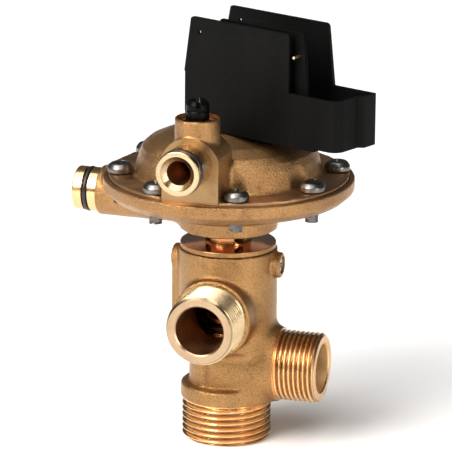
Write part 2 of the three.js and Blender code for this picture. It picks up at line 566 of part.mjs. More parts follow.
function upperCover() {
  const shell = revolve([
    [BUSH.threadRadius + GAP, UPPER_CHAMBER.ceiling],
    [UPPER_CHAMBER.ceilingRadius, UPPER_CHAMBER.ceiling],
    [CHAMBER_SHOULDER.radius, CHAMBER_SHOULDER.z],
    [UPPER_CHAMBER.radius, UPPER_CHAMBER.wallTop],
    [UPPER_CHAMBER.radius, COVER.clampZ],
    [COVER.clampInner, COVER.clampZ],
    [COVER.clampInner, COVER.bottom],
    [COVER.radius, COVER.bottom],
    [COVER.radius, COVER.flangeTop],
    [DOME.footRadius, COVER.flangeTop],
    [DOME.radius, DOME.wallTop],
    [DOME_SHOULDER.radius, DOME_SHOULDER.z],
    [DOME_CROWN.radius, DOME_CROWN.z],
    [DOME.seatRadius, DOME.seatZ],
    [BUSH.threadRadius + GAP, DOME.seatZ],
  ]);
  const centre = -ADJUSTER_BOSS.centre;
  const chamber = revolve([
    [0, COVER.bottom - CLEAR],
    [UPPER_CHAMBER.radius, COVER.bottom - CLEAR],
    [UPPER_CHAMBER.radius, UPPER_CHAMBER.wallTop],
    [CHAMBER_SHOULDER.radius, CHAMBER_SHOULDER.z],
    [UPPER_CHAMBER.ceilingRadius, UPPER_CHAMBER.ceiling],
    [0, UPPER_CHAMBER.ceiling],
  ]);
  const place = (distance) => [0, -distance, FRONT_SPIGOT.z];
  let pockets = shell;
  for (const [x, y] of screwPlaces()) {
    const pocket = rod(SCREWS.pocketRadius, [x, y, COVER.flangeTop], [x, y, SCREWS.pocketTop], SMALL);
    pockets = pockets.subtract(pocket);
  }
  const { hole, shoulder, top } = ADJUSTER_BOSS;
  const lower = ADJUSTER_LOWER_BORE;
  const passageZ = CHAMBER_PASSAGE.z;
  const passageEnd = -(UPPER_CHAMBER.radius - CLEAR);
  let cover = union(pockets, frontBlock().subtract(chamber))
    .subtract(rod(hole, [0, centre, shoulder], [0, centre, top + CLEAR]))
    .subtract(rod(lower.radius, [0, centre, lower.bottom], [0, centre, top], SMALL))
    .subtract(rod(CHAMBER_PASSAGE.radius, [0, centre, passageZ], [0, passageEnd, passageZ], TINY))
    .subtract(spigotCuts(place, FRONT_SPIGOT, ADJUSTER_BOSS.centre));
  for (const [x, y] of screwPlaces()) {
    const headTop = COVER.flangeTop + SCREW_HEAD.height + SCREW_HEAD.headroom;
    cover = cover
      .subtract(rod(SCREWS.hole, [x, y, COVER.bottom - CLEAR], [x, y, COVER.flangeTop + CLEAR], TINY))
      .subtract(rod(SCREW_HEAD.radius + GAP, [x, y, COVER.flangeTop], [x, y, headTop], SMALL));
  }
  return cover;
}

// A pan-head screw whose tip shows under the lower housing.
function coverScrew() {
  const under = COVER.flangeTop + GAP;
  const top = under + SCREW_HEAD.height;
  return revolve([
    [0, SCREW.tip],
    [SCREW.tipRadius, SCREW.tip],
    [SCREW.radius, SCREW.tip + SCREW.tipLength],
    [SCREW.radius, under],
    [SCREW_HEAD.radius, under],
    [SCREW_HEAD.radius, top - SCREW_HEAD.crownHeight],
    [SCREW_HEAD.crownRadius, top],
    [0, top],
  ], TINY);
}

function housingPieces() {
  const group = new THREE.Group();
  group.add(
    piece("lower_housing", lowerHousing(), castBrass),
    piece("upper_cover", upperCover(), castBrass),
  );
  const sideRing = oRing("side_spigot_oring", SPIGOT_RING, SIDE_SPIGOT.z);
  sideRing.position.x = -(SIDE_SPIGOT.groove[0] + SIDE_SPIGOT.groove[1]) / 2;
  sideRing.rotation.y = Math.PI / 2;
  const frontRing = oRing("front_spigot_oring", SPIGOT_RING, FRONT_SPIGOT.z);
  frontRing.position.y = -(FRONT_SPIGOT.groove[0] + FRONT_SPIGOT.groove[1]) / 2;
  frontRing.rotation.x = Math.PI / 2;
  group.add(sideRing, frontRing);
  screwPlaces().forEach(([x, y], i) => {
    const screw = piece("cover_screw_" + (i + 1), coverScrew(), zincSteel);
    screw.position.set(x, y, 0);
    group.add(screw);
  });
  return group;
}

// ---------------------------------------------------------------- spindle bush and switch bracket

function topBush() {
  const bore = SPINDLE.radius + GAP;
  return revolve([
    [BUSH_GLAND.radius, BUSH.bottom],
    [BUSH.threadRadius, BUSH.bottom],
    [BUSH.threadRadius, DOME.seatZ],
    [BUSH.upperRadius, DOME.seatZ],
    [BUSH.upperRadius, BUSH.top],
    [bore, BUSH.top],
    [bore, BUSH_GLAND.top],
    [BUSH_GLAND.radius, BUSH_GLAND.top],
  ], SMALL);
}

// One moulding: a floor on the cover's seat, three upright plates and an open tray at the right end.
function switchBracket() {
  const { bottom, floor, wall, front, back, left, right } = BRACKET;
  const floorTop = bottom + floor;
  const inner = right - TRAY.jogWidth;
  const cornerU = inner - TRAY.cornerRadius;
  const cornerN = front + TRAY.cornerRadius;
  const cutLeft = cornerU - TRAY.cornerRadius - CLEAR;
  const cutTop = TRAY.top + CLEAR;
  const jogBottom = bottom + CLEAR;
  const slab = block([left, front, bottom], [inner - CLEAR, back, floorTop]);
  const jogSlab = block([inner - 2 * CLEAR, TRAY.jogFrom, jogBottom], [right, back, floorTop + CLEAR]);
  const frontPlate = plate([
    [left, bottom],
    [cornerU, bottom],
    [cornerU, TRAY.top],
    [FRONT_PLATE.right, TRAY.top],
    [FRONT_PLATE.right, PLATE_TOP],
    [FRONT_PLATE.topLeft, PLATE_TOP],
    [FRONT_PLATE.kneeLeft, FRONT_PLATE.kneeZ],
    [left, FRONT_PLATE.leftTop],
  ], front, wall);
  const backTop = PLATE_TOP + BACK_PLATE.rise;
  const backPlate = plate([
    [BACK_PLATE.left, bottom],
    [right, bottom],
    [right, TRAY.top],
    [BACK_PLATE.shoulderRight, TRAY.top],
    [BACK_PLATE.topRight, backTop],
    [BACK_PLATE.topLeft, backTop],
  ], back - wall, wall);
  const middlePlate = plate([
    [MIDDLE_PLATE_FOOT.left, bottom],
    [MIDDLE_PLATE.footRight, bottom],
    [MIDDLE_PLATE.footRight, TRAY.top],
    [MIDDLE_PLATE.topRight, PLATE_TOP],
    [MIDDLE_PLATE.left, PLATE_TOP],
    [MIDDLE_PLATE.left, MIDDLE_PLATE_FOOT.top],
    [MIDDLE_PLATE_FOOT.left, MIDDLE_PLATE_FOOT.top],
  ], MIDDLE_PLATE.front, MIDDLE_PLATE.thickness);
  const cornerPost = rod(TRAY.cornerRadius, [cornerU, cornerN, bottom], [cornerU, cornerN, TRAY.top], SMALL);
  const hollowRadius = TRAY.cornerRadius - wall;
  const cornerHollow = rod(hollowRadius, [cornerU, cornerN, floorTop], [cornerU, cornerN, cutTop], SMALL);
  const innerSide = block([cutLeft, front - CLEAR, floorTop], [cornerU, back, cutTop]);
  const innerBack = block([cutLeft, cornerN, floorTop], [inner - wall, back, cutTop]);
  const corner = cornerPost.subtract(cornerHollow).subtract(innerSide).subtract(innerBack);
  const endWall = block([inner - wall, cornerN - OVERLAP, bottom], [inner, TRAY.jogFrom + wall, TRAY.top]);
  const jog = block([inner - wall, TRAY.jogFrom, jogBottom], [right, TRAY.jogFrom + wall, TRAY.top]);
  const outerEnd = block([right - wall, TRAY.jogFrom, jogBottom], [right, back, TRAY.top]);
  const bushHole = rod(BUSH.upperRadius + GAP, [0, 0, bottom - CLEAR], [0, 0, floorTop + CLEAR], SMALL);
  const hole = (n, { u, z, radius }) => rod(radius, [u, n - CLEAR, z], [u, n + wall + CLEAR, z], TINY);
  const pinHole = { ...SWITCH_PIN, radius: SWITCH_PIN.radius + SWITCH_PIN.clearance };
  return union(slab, jogSlab, frontPlate, backPlate, middlePlate, corner, endWall, jog, outerEnd)
    .subtract(bushHole)
    .subtract(hole(front, FRONT_HOLE))
    .subtract(hole(back - wall, BACK_HOLE))
    .subtract(hole(MIDDLE_PLATE.front, pinHole));
}

function bracketPieces() {
  const { u, z, radius, front } = SWITCH_PIN;
  const pinBack = MIDDLE_PLATE.front + MIDDLE_PLATE.thickness;
  const nutBottom = BRACKET.bottom + BRACKET.floor + GAP;
  const bracketNut = nut(BRACKET_NUT.radius, BUSH.upperRadius + GAP, nutBottom, BRACKET_NUT.height);
  const group = new THREE.Group();
  group.rotation.z = THREE.MathUtils.degToRad(BRACKET_TURN);
  group.add(
    piece("switch_bracket", switchBracket(), blackPlastic),
    piece("switch_pin", rod(radius, [u, front, z], [u, pinBack, z], TINY), turnedBrass),
    piece("bracket_nut", bracketNut, turnedBrass),
    piece("top_bush", topBush(), turnedBrass),
    oRing("spindle_oring", SPINDLE_RING, (BUSH.bottom + BUSH_GLAND.top) / 2),
  );
  return group;
}

// ---------------------------------------------------------------- adjusting screw

function adjusterBush() {
  const { radius, bottom, top, bore } = ADJUSTER_BUSH;
  return revolve([
    [bore, bottom],
    [radius, bottom],
    [radius, top],
    [ADJUSTER_COLLAR.radius, top],
    [ADJUSTER_COLLAR.radius, ADJUSTER_COLLAR.top],
    [bore, ADJUSTER_COLLAR.top],
    [bore, ADJUSTER_GLAND.top],
    [ADJUSTER_GLAND.radius, ADJUSTER_GLAND.top],
    [ADJUSTER_GLAND.radius, ADJUSTER_GLAND.bottom],
    [bore, ADJUSTER_GLAND.bottom],
  ], SMALL);
}

function snapRing() {
  const { inner, outer, bottom, thickness, opening } = SNAP_RING;
  const start = THREE.MathUtils.degToRad(opening / 2);
  const shape = new THREE.Shape();
  shape.absarc(0, 0, outer, start, 2 * Math.PI - start, false);
  shape.absarc(0, 0, inner, 2 * Math.PI - start, start, true);
  const options = { depth: thickness, curveSegments: SMALL, bevelEnabled: false };
  return solidOf(new THREE.ExtrudeGeometry(shape, options).translate(0, 0, bottom));
}

function needle() {
  const { radius, tip, shoulder, top, tipRadius } = NEEDLE;
  return revolve([[0, tip], [tipRadius, tip], [radius, shoulder], [radius, top], [0, top]], SMALL);
}

// A slotted knob: two crossing slots leave four castellations.
function knob() {
  const { radius, bottom, top, socketTop, slotWidth, slotDepth } = KNOB;
  const turned = revolve([
    [NEEDLE.radius + GAP, bottom],
    [radius, bottom],
    [radius, top - KNOB_CROWN.height],
    [radius - KNOB_CROWN.inset, top],
    [0, top],
    [0, socketTop],
    [NEEDLE.radius + GAP, socketTop],
  ], SMALL);
  const reach = radius + CLEAR;
  const floor = top - slotDepth;
  const slot = block([-slotWidth / 2, -reach, floor], [slotWidth / 2, reach, top + CLEAR]);
  const crossSlot = block([-reach, -slotWidth / 2, floor], [reach, slotWidth / 2, top + CLEAR]);
  return turned.subtract(slot).subtract(crossSlot);
}

function adjusterPieces() {
  const group = new THREE.Group();
  group.position.y = -ADJUSTER_BOSS.centre;
  group.add(
    piece("adjuster_bush", adjusterBush(), blackPlastic),
    oRing("adjuster_oring", ADJUSTER_RING, (ADJUSTER_GLAND.bottom + ADJUSTER_GLAND.top) / 2),
    piece("snap_ring", snapRing(), copperRing),
    piece("adjust_needle", needle(), turnedBrass),
    piece("adjust_knob", knob(), blackPlastic),
  );
  return group;
}

// ---------------------------------------------------------------- assembly

const actuator = new THREE.Group();
actuator.rotation.z = THREE.MathUtils.degToRad(ACTUATOR_TURN);
actuator.add(housingPieces(), bracketPieces(), adjusterPieces());

const zoneValve = new THREE.Group();
zoneValve.add(bodyPieces(), stemPieces(), deformingPieces(), actuator);

export default zoneValve;
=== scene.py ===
import math

import bpy
import numpy as np
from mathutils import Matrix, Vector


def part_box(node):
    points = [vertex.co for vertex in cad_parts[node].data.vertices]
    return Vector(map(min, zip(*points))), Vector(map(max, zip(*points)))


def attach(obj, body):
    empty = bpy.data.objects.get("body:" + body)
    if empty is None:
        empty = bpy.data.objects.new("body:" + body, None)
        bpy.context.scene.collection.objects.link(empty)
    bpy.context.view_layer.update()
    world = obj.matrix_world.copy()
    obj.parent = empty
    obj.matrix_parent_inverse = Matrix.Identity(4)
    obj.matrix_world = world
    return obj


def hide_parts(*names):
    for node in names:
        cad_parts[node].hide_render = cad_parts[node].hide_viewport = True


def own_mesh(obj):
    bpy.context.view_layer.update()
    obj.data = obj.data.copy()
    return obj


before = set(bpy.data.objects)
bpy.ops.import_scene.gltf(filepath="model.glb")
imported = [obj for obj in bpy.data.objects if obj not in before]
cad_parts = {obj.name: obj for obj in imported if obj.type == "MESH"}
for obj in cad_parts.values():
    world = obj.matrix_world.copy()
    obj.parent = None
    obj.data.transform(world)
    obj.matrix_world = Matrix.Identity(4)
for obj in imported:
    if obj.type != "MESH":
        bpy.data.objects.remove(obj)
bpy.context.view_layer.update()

import openvdb
from mathutils import Matrix, Vector

# Lengths in this script are millimetres until a mesh is made, and MM turns them into metres.
MM = 0.001

# ---- places

ACTUATOR_TURN = -2.0  # degrees, on the valve's neck
BRACKET_TURN = -20.0  # degrees, on the actuator
TURN = Matrix.Rotation(math.radians(ACTUATOR_TURN), 4, "Z")
BRACKET_PLACE = TURN @ Matrix.Rotation(math.radians(BRACKET_TURN), 4, "Z")
BODY_PLACE = Matrix.Identity(4)


def low(node):
    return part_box(node)[0] / MM


def high(node):
    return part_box(node)[1] / MM


FRONT_Z = 50.9
RIGHT_Z = 29.6
FRONT_REACH = -low("valve_body").y
RIGHT_REACH = high("valve_body").x
BARREL_TOP = high("valve_body").z
BOSS_Z = (low("boss_screw_right").z + high("boss_screw_right").z) / 2
LIP_TOP = high("lower_housing").z
DISH_RADIUS = high("lower_housing").x
HUB_BOTTOM = low("lower_housing").z
SPIGOT_RADIUS = 8.2
SPIGOT_BORE = 4.45
SIDE_SPIGOT_Z = (low("side_spigot_oring").z + high("side_spigot_oring").z) / 2
FRONT_SPIGOT_Z = (low("front_spigot_oring").z + high("front_spigot_oring").z) / 2
SIDE_REACH = 59.0
FRONT_SPIGOT_REACH = 57.2
SCREW_TIP_TO_FLANGE = 11.5
FLANGE_TOP = low("cover_screw_1").z + SCREW_TIP_TO_FLANGE
KNOB_CENTRE = (low("adjust_knob") + high("adjust_knob")) / 2
ADJUSTER_PLACE = Matrix.Translation(Vector((KNOB_CENTRE.x, KNOB_CENTRE.y, 0)) * MM) @ TURN
ADJUSTER_RADIUS = Vector((KNOB_CENTRE.x, KNOB_CENTRE.y)).length
SCREW_CIRCLE = 40.0
SCREW_COUNT = 8
FIRST_SCREW = 22.5  # degrees from the front
BLOCK_FACE_REACH = 43.5

# ---- outlines


def fillet(outline, step=12.0):
    """Rounds the corners of a closed outline. A corner given as (r, z, radius) gets an arc of that radius."""
    points = []
    count = len(outline)
    for i, corner in enumerate(outline):
        radius = corner[2] if len(corner) > 2 else 0.0
        here = np.array(corner[:2], float)
        if radius <= 0:
            points.append(here)
            continue
        before = np.array(outline[i - 1][:2], float) - here
        after = np.array(outline[(i + 1) % count][:2], float) - here
        reach = min(np.linalg.norm(before), np.linalg.norm(after)) * 0.49
        before /= np.linalg.norm(before)
        after /= np.linalg.norm(after)
        half = math.acos(float(np.clip(before @ after, -1, 1))) / 2
        if half > math.radians(89):
            points.append(here)
            continue
        cut = min(radius / math.tan(half), reach)
        radius = cut * math.tan(half)
        middle = here + (before + after) / np.linalg.norm(before + after) * radius / math.sin(half)
        start = here + before * cut - middle
        end = here + after * cut - middle
        first = math.atan2(start[1], start[0])
        sweep = (math.atan2(end[1], end[0]) - first + math.pi) % (2 * math.pi) - math.pi
        steps = max(2, math.ceil(abs(math.degrees(sweep)) / step))
        for k in range(steps + 1):
            angle = first + sweep * k / steps
            points.append(middle + radius * np.array([math.cos(angle), math.sin(angle)]))
    return np.array(points)


def anticlockwise(points):
    area = np.sum(points[:, 0] * np.roll(points[:, 1], -1) - np.roll(points[:, 0], -1) * points[:, 1])
    return points[::-1] if area < 0 else points


# ---- meshes


def raw_object(name, vertices, faces):
    mesh = bpy.data.meshes.new(name)
    mesh.from_pydata([tuple(v) for v in vertices], [], faces)
    obj = bpy.data.objects.new(name, mesh)
    bpy.context.scene.collection.objects.link(obj)
    return obj


def turned(outline, segments=96, axis="Z", centre=(0, 0, 0)):
    """A closed outline of (r, z, fillet) corners turned about an axis through centre.

    Along -X, -Y or X, z is the distance out.
    """
    points = anticlockwise(fillet(outline))
    angles = np.linspace(0, 2 * np.pi, segments, endpoint=False)
    vertices, rows = [], []
    for r, z in points:
        if abs(r) < 1e-6:
            rows.append([len(vertices)] * segments)
            vertices.append((0.0, 0.0, z))
        else:
            rows.append(list(range(len(vertices), len(vertices) + segments)))
            vertices.extend(zip(r * np.cos(angles), r * np.sin(angles), [z] * segments))
    faces = []
    for i, row in enumerate(rows):
        following = rows[(i + 1) % len(rows)]
        for k in range(segments):
            n = (k + 1) % segments
            corners = []
            for v in (row[k], row[n], following[n], following[k]):
                if v not in corners:
                    corners.append(v)
            if len(corners) > 2:
                faces.append(corners)
    return raw_object("turned", along(np.array(vertices), axis, centre), faces)


def along(vertices, axis, centre):
    """Turns points made about +Z so that +Z becomes the axis named, and moves them to centre."""
    x, y, z = vertices.T
    turned_points = {
        "Z": (x, y, z),
        "-Z": (x, -y, -z),
        "-Y": (x, -z, y),
        "X": (z, y, -x),
        "-X": (-z, y, x),
    }[axis]
    return np.stack(turned_points, 1) + np.array(centre, float)


def rod(radius, start, end, axis="Z", centre=(0, 0, 0), segments=96, end_radius=None):
    end_radius = radius if end_radius is None else end_radius
    return turned([(0, start), (radius, start), (end_radius, end), (0, end)], segments, axis, centre)


def slab(low_corner, high_corner):
    corners = [(x, y, z) for x in (low_corner[0], high_corner[0]) for y in (low_corner[1], high_corner[1])
               for z in (low_corner[2], high_corner[2])]
    faces = [(0, 1, 3, 2), (4, 6, 7, 5), (0, 4, 5, 1), (2, 3, 7, 6), (0, 2, 6, 4), (1, 5, 7, 3)]
    return raw_object("slab", corners, faces)


def prism(outline, start, end, axis="Z"):
    """An outline of (a, b, fillet) corners pushed along Z or Y. Along Y, a is x and b is z."""
    points = anticlockwise(fillet(outline))
    count = len(points)
    if axis == "Z":
        vertices = [(a, b, h) for h in (start, end) for a, b in points]
        faces = [list(range(count))[::-1], list(range(count, 2 * count))]
        sides = [(i, (i + 1) % count, count + (i + 1) % count, count + i) for i in range(count)]
    else:
        vertices = [(a, h, b) for h in (start, end) for a, b in points]
        faces = [list(range(count)), list(range(count, 2 * count))[::-1]]
        sides = [(i, count + i, count + (i + 1) % count, (i + 1) % count) for i in range(count)]
    return raw_object("prism", vertices, faces + sides)


def ring_of(radius, wire, axis="Z", centre=(0, 0, 0), segments=96, sides=20):
    angles = np.linspace(0, 2 * np.pi, sides, endpoint=False)
    outline = [(radius + wire * math.cos(a), wire * math.sin(a)) for a in angles]
    return turned(outline, segments, axis, centre)


def threaded(radius, pitch, start, end, tip_radius, axis="Z", centre=(0, 0, 0), segments=144):
    """A threaded plug with rounded crests, from its run-out at start to its chamfered end."""
    steps = math.ceil((end - start) / (pitch / 14))
    z = np.linspace(start, end, steps + 1)[:, None]
    angle = np.linspace(0, 2 * np.pi, segments, endpoint=False)[None, :]
    phase = ((z - start) / pitch - angle / (2 * np.pi)) % 1.0
    wave = np.abs(2 * phase - 1)  # 1 at a crest, 0 at a root
    profile = np.clip(wave * 1.32 - 0.12, 0, 1)
    profile = profile * profile * (3 - 2 * profile) * 0.35 + profile * 0.65
    depth = 0.60 * pitch
    fade = np.clip((z - start) / pitch, 0.15, 1)
    r = radius - depth * (1 - profile) * fade
    chamfer = tip_radius + (end - z) * 1.0
    r = np.minimum(r, np.maximum(chamfer, tip_radius))
    x, y = r * np.cos(angle), r * np.sin(angle)
    wall = np.stack([x, y, np.broadcast_to(z, x.shape)], -1).reshape(-1, 3)
    vertices = np.vstack([wall, [[0, 0, start], [0, 0, end]]])
    base, cap = len(wall), len(wall) + 1
    faces = []
    for k in range(segments):
        n = (k + 1) % segments
        faces.extend((i * segments + k, i * segments + n, (i + 1) * segments + n, (i + 1) * segments + k)
                     for i in range(steps))
        faces.append((base, n, k))
        faces.append((cap, steps * segments + k, steps * segments + n))
    return raw_object("thread", along(vertices, axis, centre), faces)


def apply_modifier(obj):
    graph = bpy.context.evaluated_depsgraph_get()
    mesh = bpy.data.meshes.new_from_object(obj.evaluated_get(graph))
    obj.modifiers.clear()
    old = obj.data
    obj.data = mesh
    bpy.data.meshes.remove(old)


def combine(base, others, operation):
    """Adds or cuts solids with Blender's exact manifold solver. The other solids are used up."""
    for other in others:
        modifier = base.modifiers.new("boolean", "BOOLEAN")
        modifier.operation = operation
        modifier.solver = "MANIFOLD"
        modifier.object = other
        apply_modifier(base)
        spent = other.data
        bpy.data.objects.remove(other)
        bpy.data.meshes.remove(spent)
    return base


def join(base, *others):
    return combine(base, others, "UNION")


def cut(base, *others):
    return combine(base, others, "DIFFERENCE")


def keep_common(base, other):
    return combine(base, [other], "INTERSECT")


def bevelled(obj, width, angle=35):
    """Breaks every edge sharper than angle."""
    modifier = obj.modifiers.new("bevel", "BEVEL")
    modifier.width = width
    modifier.segments = 2
    modifier.limit_method = "ANGLE"
    modifier.angle_limit = math.radians(angle)
    apply_modifier(obj)
    return obj


# ---- castings as signed distances


class Casting:
    """A block of space on a fine grid. Shapes are signed distances on it, blended into one casting."""

    def __init__(self, low_corner, high_corner, voxel):
        self.voxel = voxel
        self.low = np.array(low_corner, float)
        axes = [np.arange(a, b + voxel, voxel, dtype=np.float32) for a, b in zip(low_corner, high_corner)]
        self.x = axes[0][:, None, None]
        self.y = axes[1][None, :, None]
        self.z = axes[2][None, None, :]
        self.heights = axes[2]

    def turned(self, outline, centre=(0, 0)):
        """Signed distance to a closed (r, z, fillet) outline turned about an upright axis."""
        points = fillet(outline, step=20.0)
        radius = np.hypot(self.x[:, :, 0] - centre[0], self.y[:, :, 0] - centre[1])
        step = self.voxel / 2
        r = np.arange(0, radius.max() + 2 * step, step)[:, None]
        z = self.heights[None, :].astype(float)
        distance = np.full((r.shape[0], z.shape[1]), 1e9)
        inside = np.zeros(distance.shape, bool)
        for a, b in zip(points, np.roll(points, -1, axis=0)):
            edge = b - a
            length = float(edge @ edge)
            if length < 1e-12:
                continue
            t = np.clip(((r - a[0]) * edge[0] + (z - a[1]) * edge[1]) / length, 0, 1)
            if a[0] > 1e-6 or b[0] > 1e-6:
                distance = np.minimum(distance, np.hypot(r - a[0] - t * edge[0], z - a[1] - t * edge[1]))
            crosses = (a[1] > z) != (b[1] > z)
            where = a[0] + (z - a[1]) / (edge[1] if abs(edge[1]) > 1e-12 else 1e-12) * edge[0]
            inside ^= crosses & (r < where)
        table = np.where(inside, -distance, distance).astype(np.float32)
        index = radius / step
        whole = np.minimum(index.astype(int), len(table) - 2)
        share = (index - whole)[:, :, None].astype(np.float32)
        return table[whole] * (1 - share) + table[whole + 1] * share

    def rod(self, radius, start, end, axis, centre, rounding=0.4):
        """Signed distance to a rod along X or Y through centre (the two other coordinates)."""
        along_axis, across = (self.x, self.y) if axis == "X" else (self.y, self.x)
        outward = np.hypot(across - centre[0], self.z - centre[1]) - (radius - rounding)
        middle, half = (start + end) / 2, abs(end - start) / 2 - rounding
        endward = np.abs(along_axis - middle) - half
        return round_corner(outward, endward) - rounding

    def box(self, low_corner, high_corner, rounding=0.4):
        sides = [np.abs(axis - (a + b) / 2) - ((b - a) / 2 - rounding)
                 for axis, a, b in zip((self.x, self.y, self.z), low_corner, high_corner)]
        outside = np.sqrt(sum(np.maximum(side, 0) ** 2 for side in sides))
        inside = np.minimum(np.maximum(np.maximum(sides[0], sides[1]), sides[2]), 0)
        return outside + inside - rounding

    def unevenness(self, size):
        """The slow waviness of a sand casting's skin."""
        x, y, z = self.x, self.y, self.z
        wave = np.sin(0.61 * x + 1.7 + np.sin(0.37 * z)) * np.sin(0.53 * y + 0.4) * np.sin(0.47 * z + 0.9)
        ripple = np.sin(1.9 * x + 0.3 + np.sin(1.1 * y)) * np.sin(2.1 * y + 1.1) * np.sin(1.7 * z)
        return size * (wave + 0.45 * ripple)

    def mesh(self, distance):
        band = 3 * self.voxel
        grid = openvdb.FloatGrid(band)
        grid.copyFromArray(np.clip(distance, -band, band).astype(np.float32), tolerance=1e-7)
        grid.transform = openvdb.createLinearTransform(self.voxel)
        points, triangles, quads = grid.convertToPolygons(isovalue=0.0, adaptivity=0.0)
        faces = [face[::-1] for face in quads.tolist() + triangles.tolist()]
        obj = raw_object("casting", points + self.low, faces)
        if mesh_volume(obj.data) < 0:
            obj.data.flip_normals()
        return obj


def mesh_volume(mesh):
    mesh.calc_loop_triangles()
    co = np.zeros(len(mesh.vertices) * 3)
    mesh.vertices.foreach_get("co", co)
    corners = np.zeros(len(mesh.loop_triangles) * 3, int)
    mesh.loop_triangles.foreach_get("vertices", corners)
    a, b, c = co.reshape(-1, 3)[corners.reshape(-1, 3)].transpose(1, 0, 2)
    return float(np.sum(a * np.cross(b, c)) / 6)


def round_corner(a, b):
    """Where two half spaces meet: their common solid, with a true distance outside the corner."""
    return np.minimum(np.maximum(a, b), 0) + np.hypot(np.maximum(a, 0), np.maximum(b, 0))


def blend(a, b, radius):
    """The union of two shapes with a fillet of about that radius between them."""
    h = np.maximum(radius - np.abs(a - b), 0) / radius
    return np.minimum(a, b) - h * h * radius / 4


# ---- materials


class Shader:
    """A small helper around one node material."""

    def __init__(self, name):
        self.material = bpy.data.materials.new(name)
        self.material.use_nodes = True
        self.tree = self.material.node_tree
        self.surface = self.tree.nodes["Principled BSDF"]
        self.place = self.node("ShaderNodeTexCoord").outputs["Object"]

    def node(self, kind, **inputs):
        made = self.tree.nodes.new(kind)
        for key, value in inputs.items():
            self.feed(made.inputs[key], value)
        return made

    def feed(self, socket, value):
        if isinstance(value, bpy.types.NodeSocket):
            self.tree.links.new(value, socket)
        else:
            socket.default_value = value

    def scaled(self, scale, offset=(0, 0, 0)):
        made = self.node("ShaderNodeMapping", Vector=self.place)
        made.inputs["Scale"].default_value = scale
        made.inputs["Location"].default_value = offset
        return made.outputs["Vector"]

    def noise(self, vector, scale, detail=3.0, roughness=0.55):
        made = self.node("ShaderNodeTexNoise", Vector=vector, Scale=scale, Detail=detail, Roughness=roughness)
        return made.outputs["Fac"]

    def ramp(self, value, stops):
        made = self.node("ShaderNodeValToRGB", Fac=value)
        while len(made.color_ramp.elements) < len(stops):
            made.color_ramp.elements.new(0.5)
        for element, (position, colour) in zip(made.color_ramp.elements, stops):
            element.position = position
            element.color = (*colour, 1.0)
        return made.outputs["Color"]

    def span(self, value, from_low, from_high, to_low, to_high):
        made = self.node("ShaderNodeMapRange", Value=value)
        limits = {"From Min": from_low, "From Max": from_high, "To Min": to_low, "To Max": to_high}
        for key, number in limits.items():
            made.inputs[key].default_value = number
        return made.outputs["Result"]

    def mix(self, factor, a, b):
        made = self.tree.nodes.new("ShaderNodeMix")
        made.data_type = "RGBA"
        for socket, value in ((made.inputs[0], factor), (made.inputs[6], a), (made.inputs[7], b)):
            self.feed(socket, (*value, 1.0) if isinstance(value, tuple) else value)
        return made.outputs[2]

    def math(self, operation, a, b=0.0):
        made = self.tree.nodes.new("ShaderNodeMath")
        made.operation = operation
        for socket, value in zip(made.inputs, (a, b)):
            self.feed(socket, value)
        return made.outputs["Value"]

    def bump(self, height, distance, strength=1.0, after=None):
        made = self.node("ShaderNodeBump", Height=height, Distance=distance, Strength=strength)
        if after is not None:
            self.tree.links.new(after, made.inputs["Normal"])
        return made.outputs["Normal"]

    def finish(self, colour=None, roughness=None, normal=None, **constants):
        for key, value in (("Base Color", colour), ("Roughness", roughness), ("Normal", normal)):
            if value is not None:
                self.feed(self.surface.inputs[key], (*value, 1.0) if isinstance(value, tuple) else value)
        for key, value in constants.items():
            self.surface.inputs[key.replace("_", " ")].default_value = value
        return self.material


def cast_brass(name, light, dark, grain=1.0):
    """Sand-cast brass: fine grain, small pits and slow changes of tint."""
    s = Shader(name)
    tint = s.noise(s.place, 55.0, 4.0, 0.6)
    speckle = s.noise(s.place, 2600.0, 2.0, 0.6)
    colour = s.ramp(tint, [(0.3, dark), (0.7, light)])
    spots = s.span(speckle, 0.42, 0.66, 0.0, 0.6)
    colour = s.mix(spots, colour, tuple(min(1.0, c * 1.5) for c in light))
    pits = s.span(s.noise(s.place, 1700.0, 2.0, 0.6), 0.56, 0.68, 0.0, 0.6)
    colour = s.mix(pits, colour, tuple(c * 0.45 for c in dark))
    stain = s.span(s.noise(s.place, 160.0, 5.0, 0.65), 0.56, 0.72, 0.0, 0.55)
    colour = s.mix(stain, colour, tuple(c * 0.62 for c in dark))
    coarse = s.noise(s.place, 1500.0, 3.0, 0.65)
    fine = s.noise(s.place, 4200.0, 2.0, 0.5)
    normal = s.bump(coarse, 0.00034 * grain, 0.85)
    normal = s.bump(fine, 0.0001 * grain, 0.7, normal)
    rough = s.span(coarse, 0.3, 0.7, 0.26, 0.42)
    return s.finish(colour, rough, normal, Metallic=0.9)


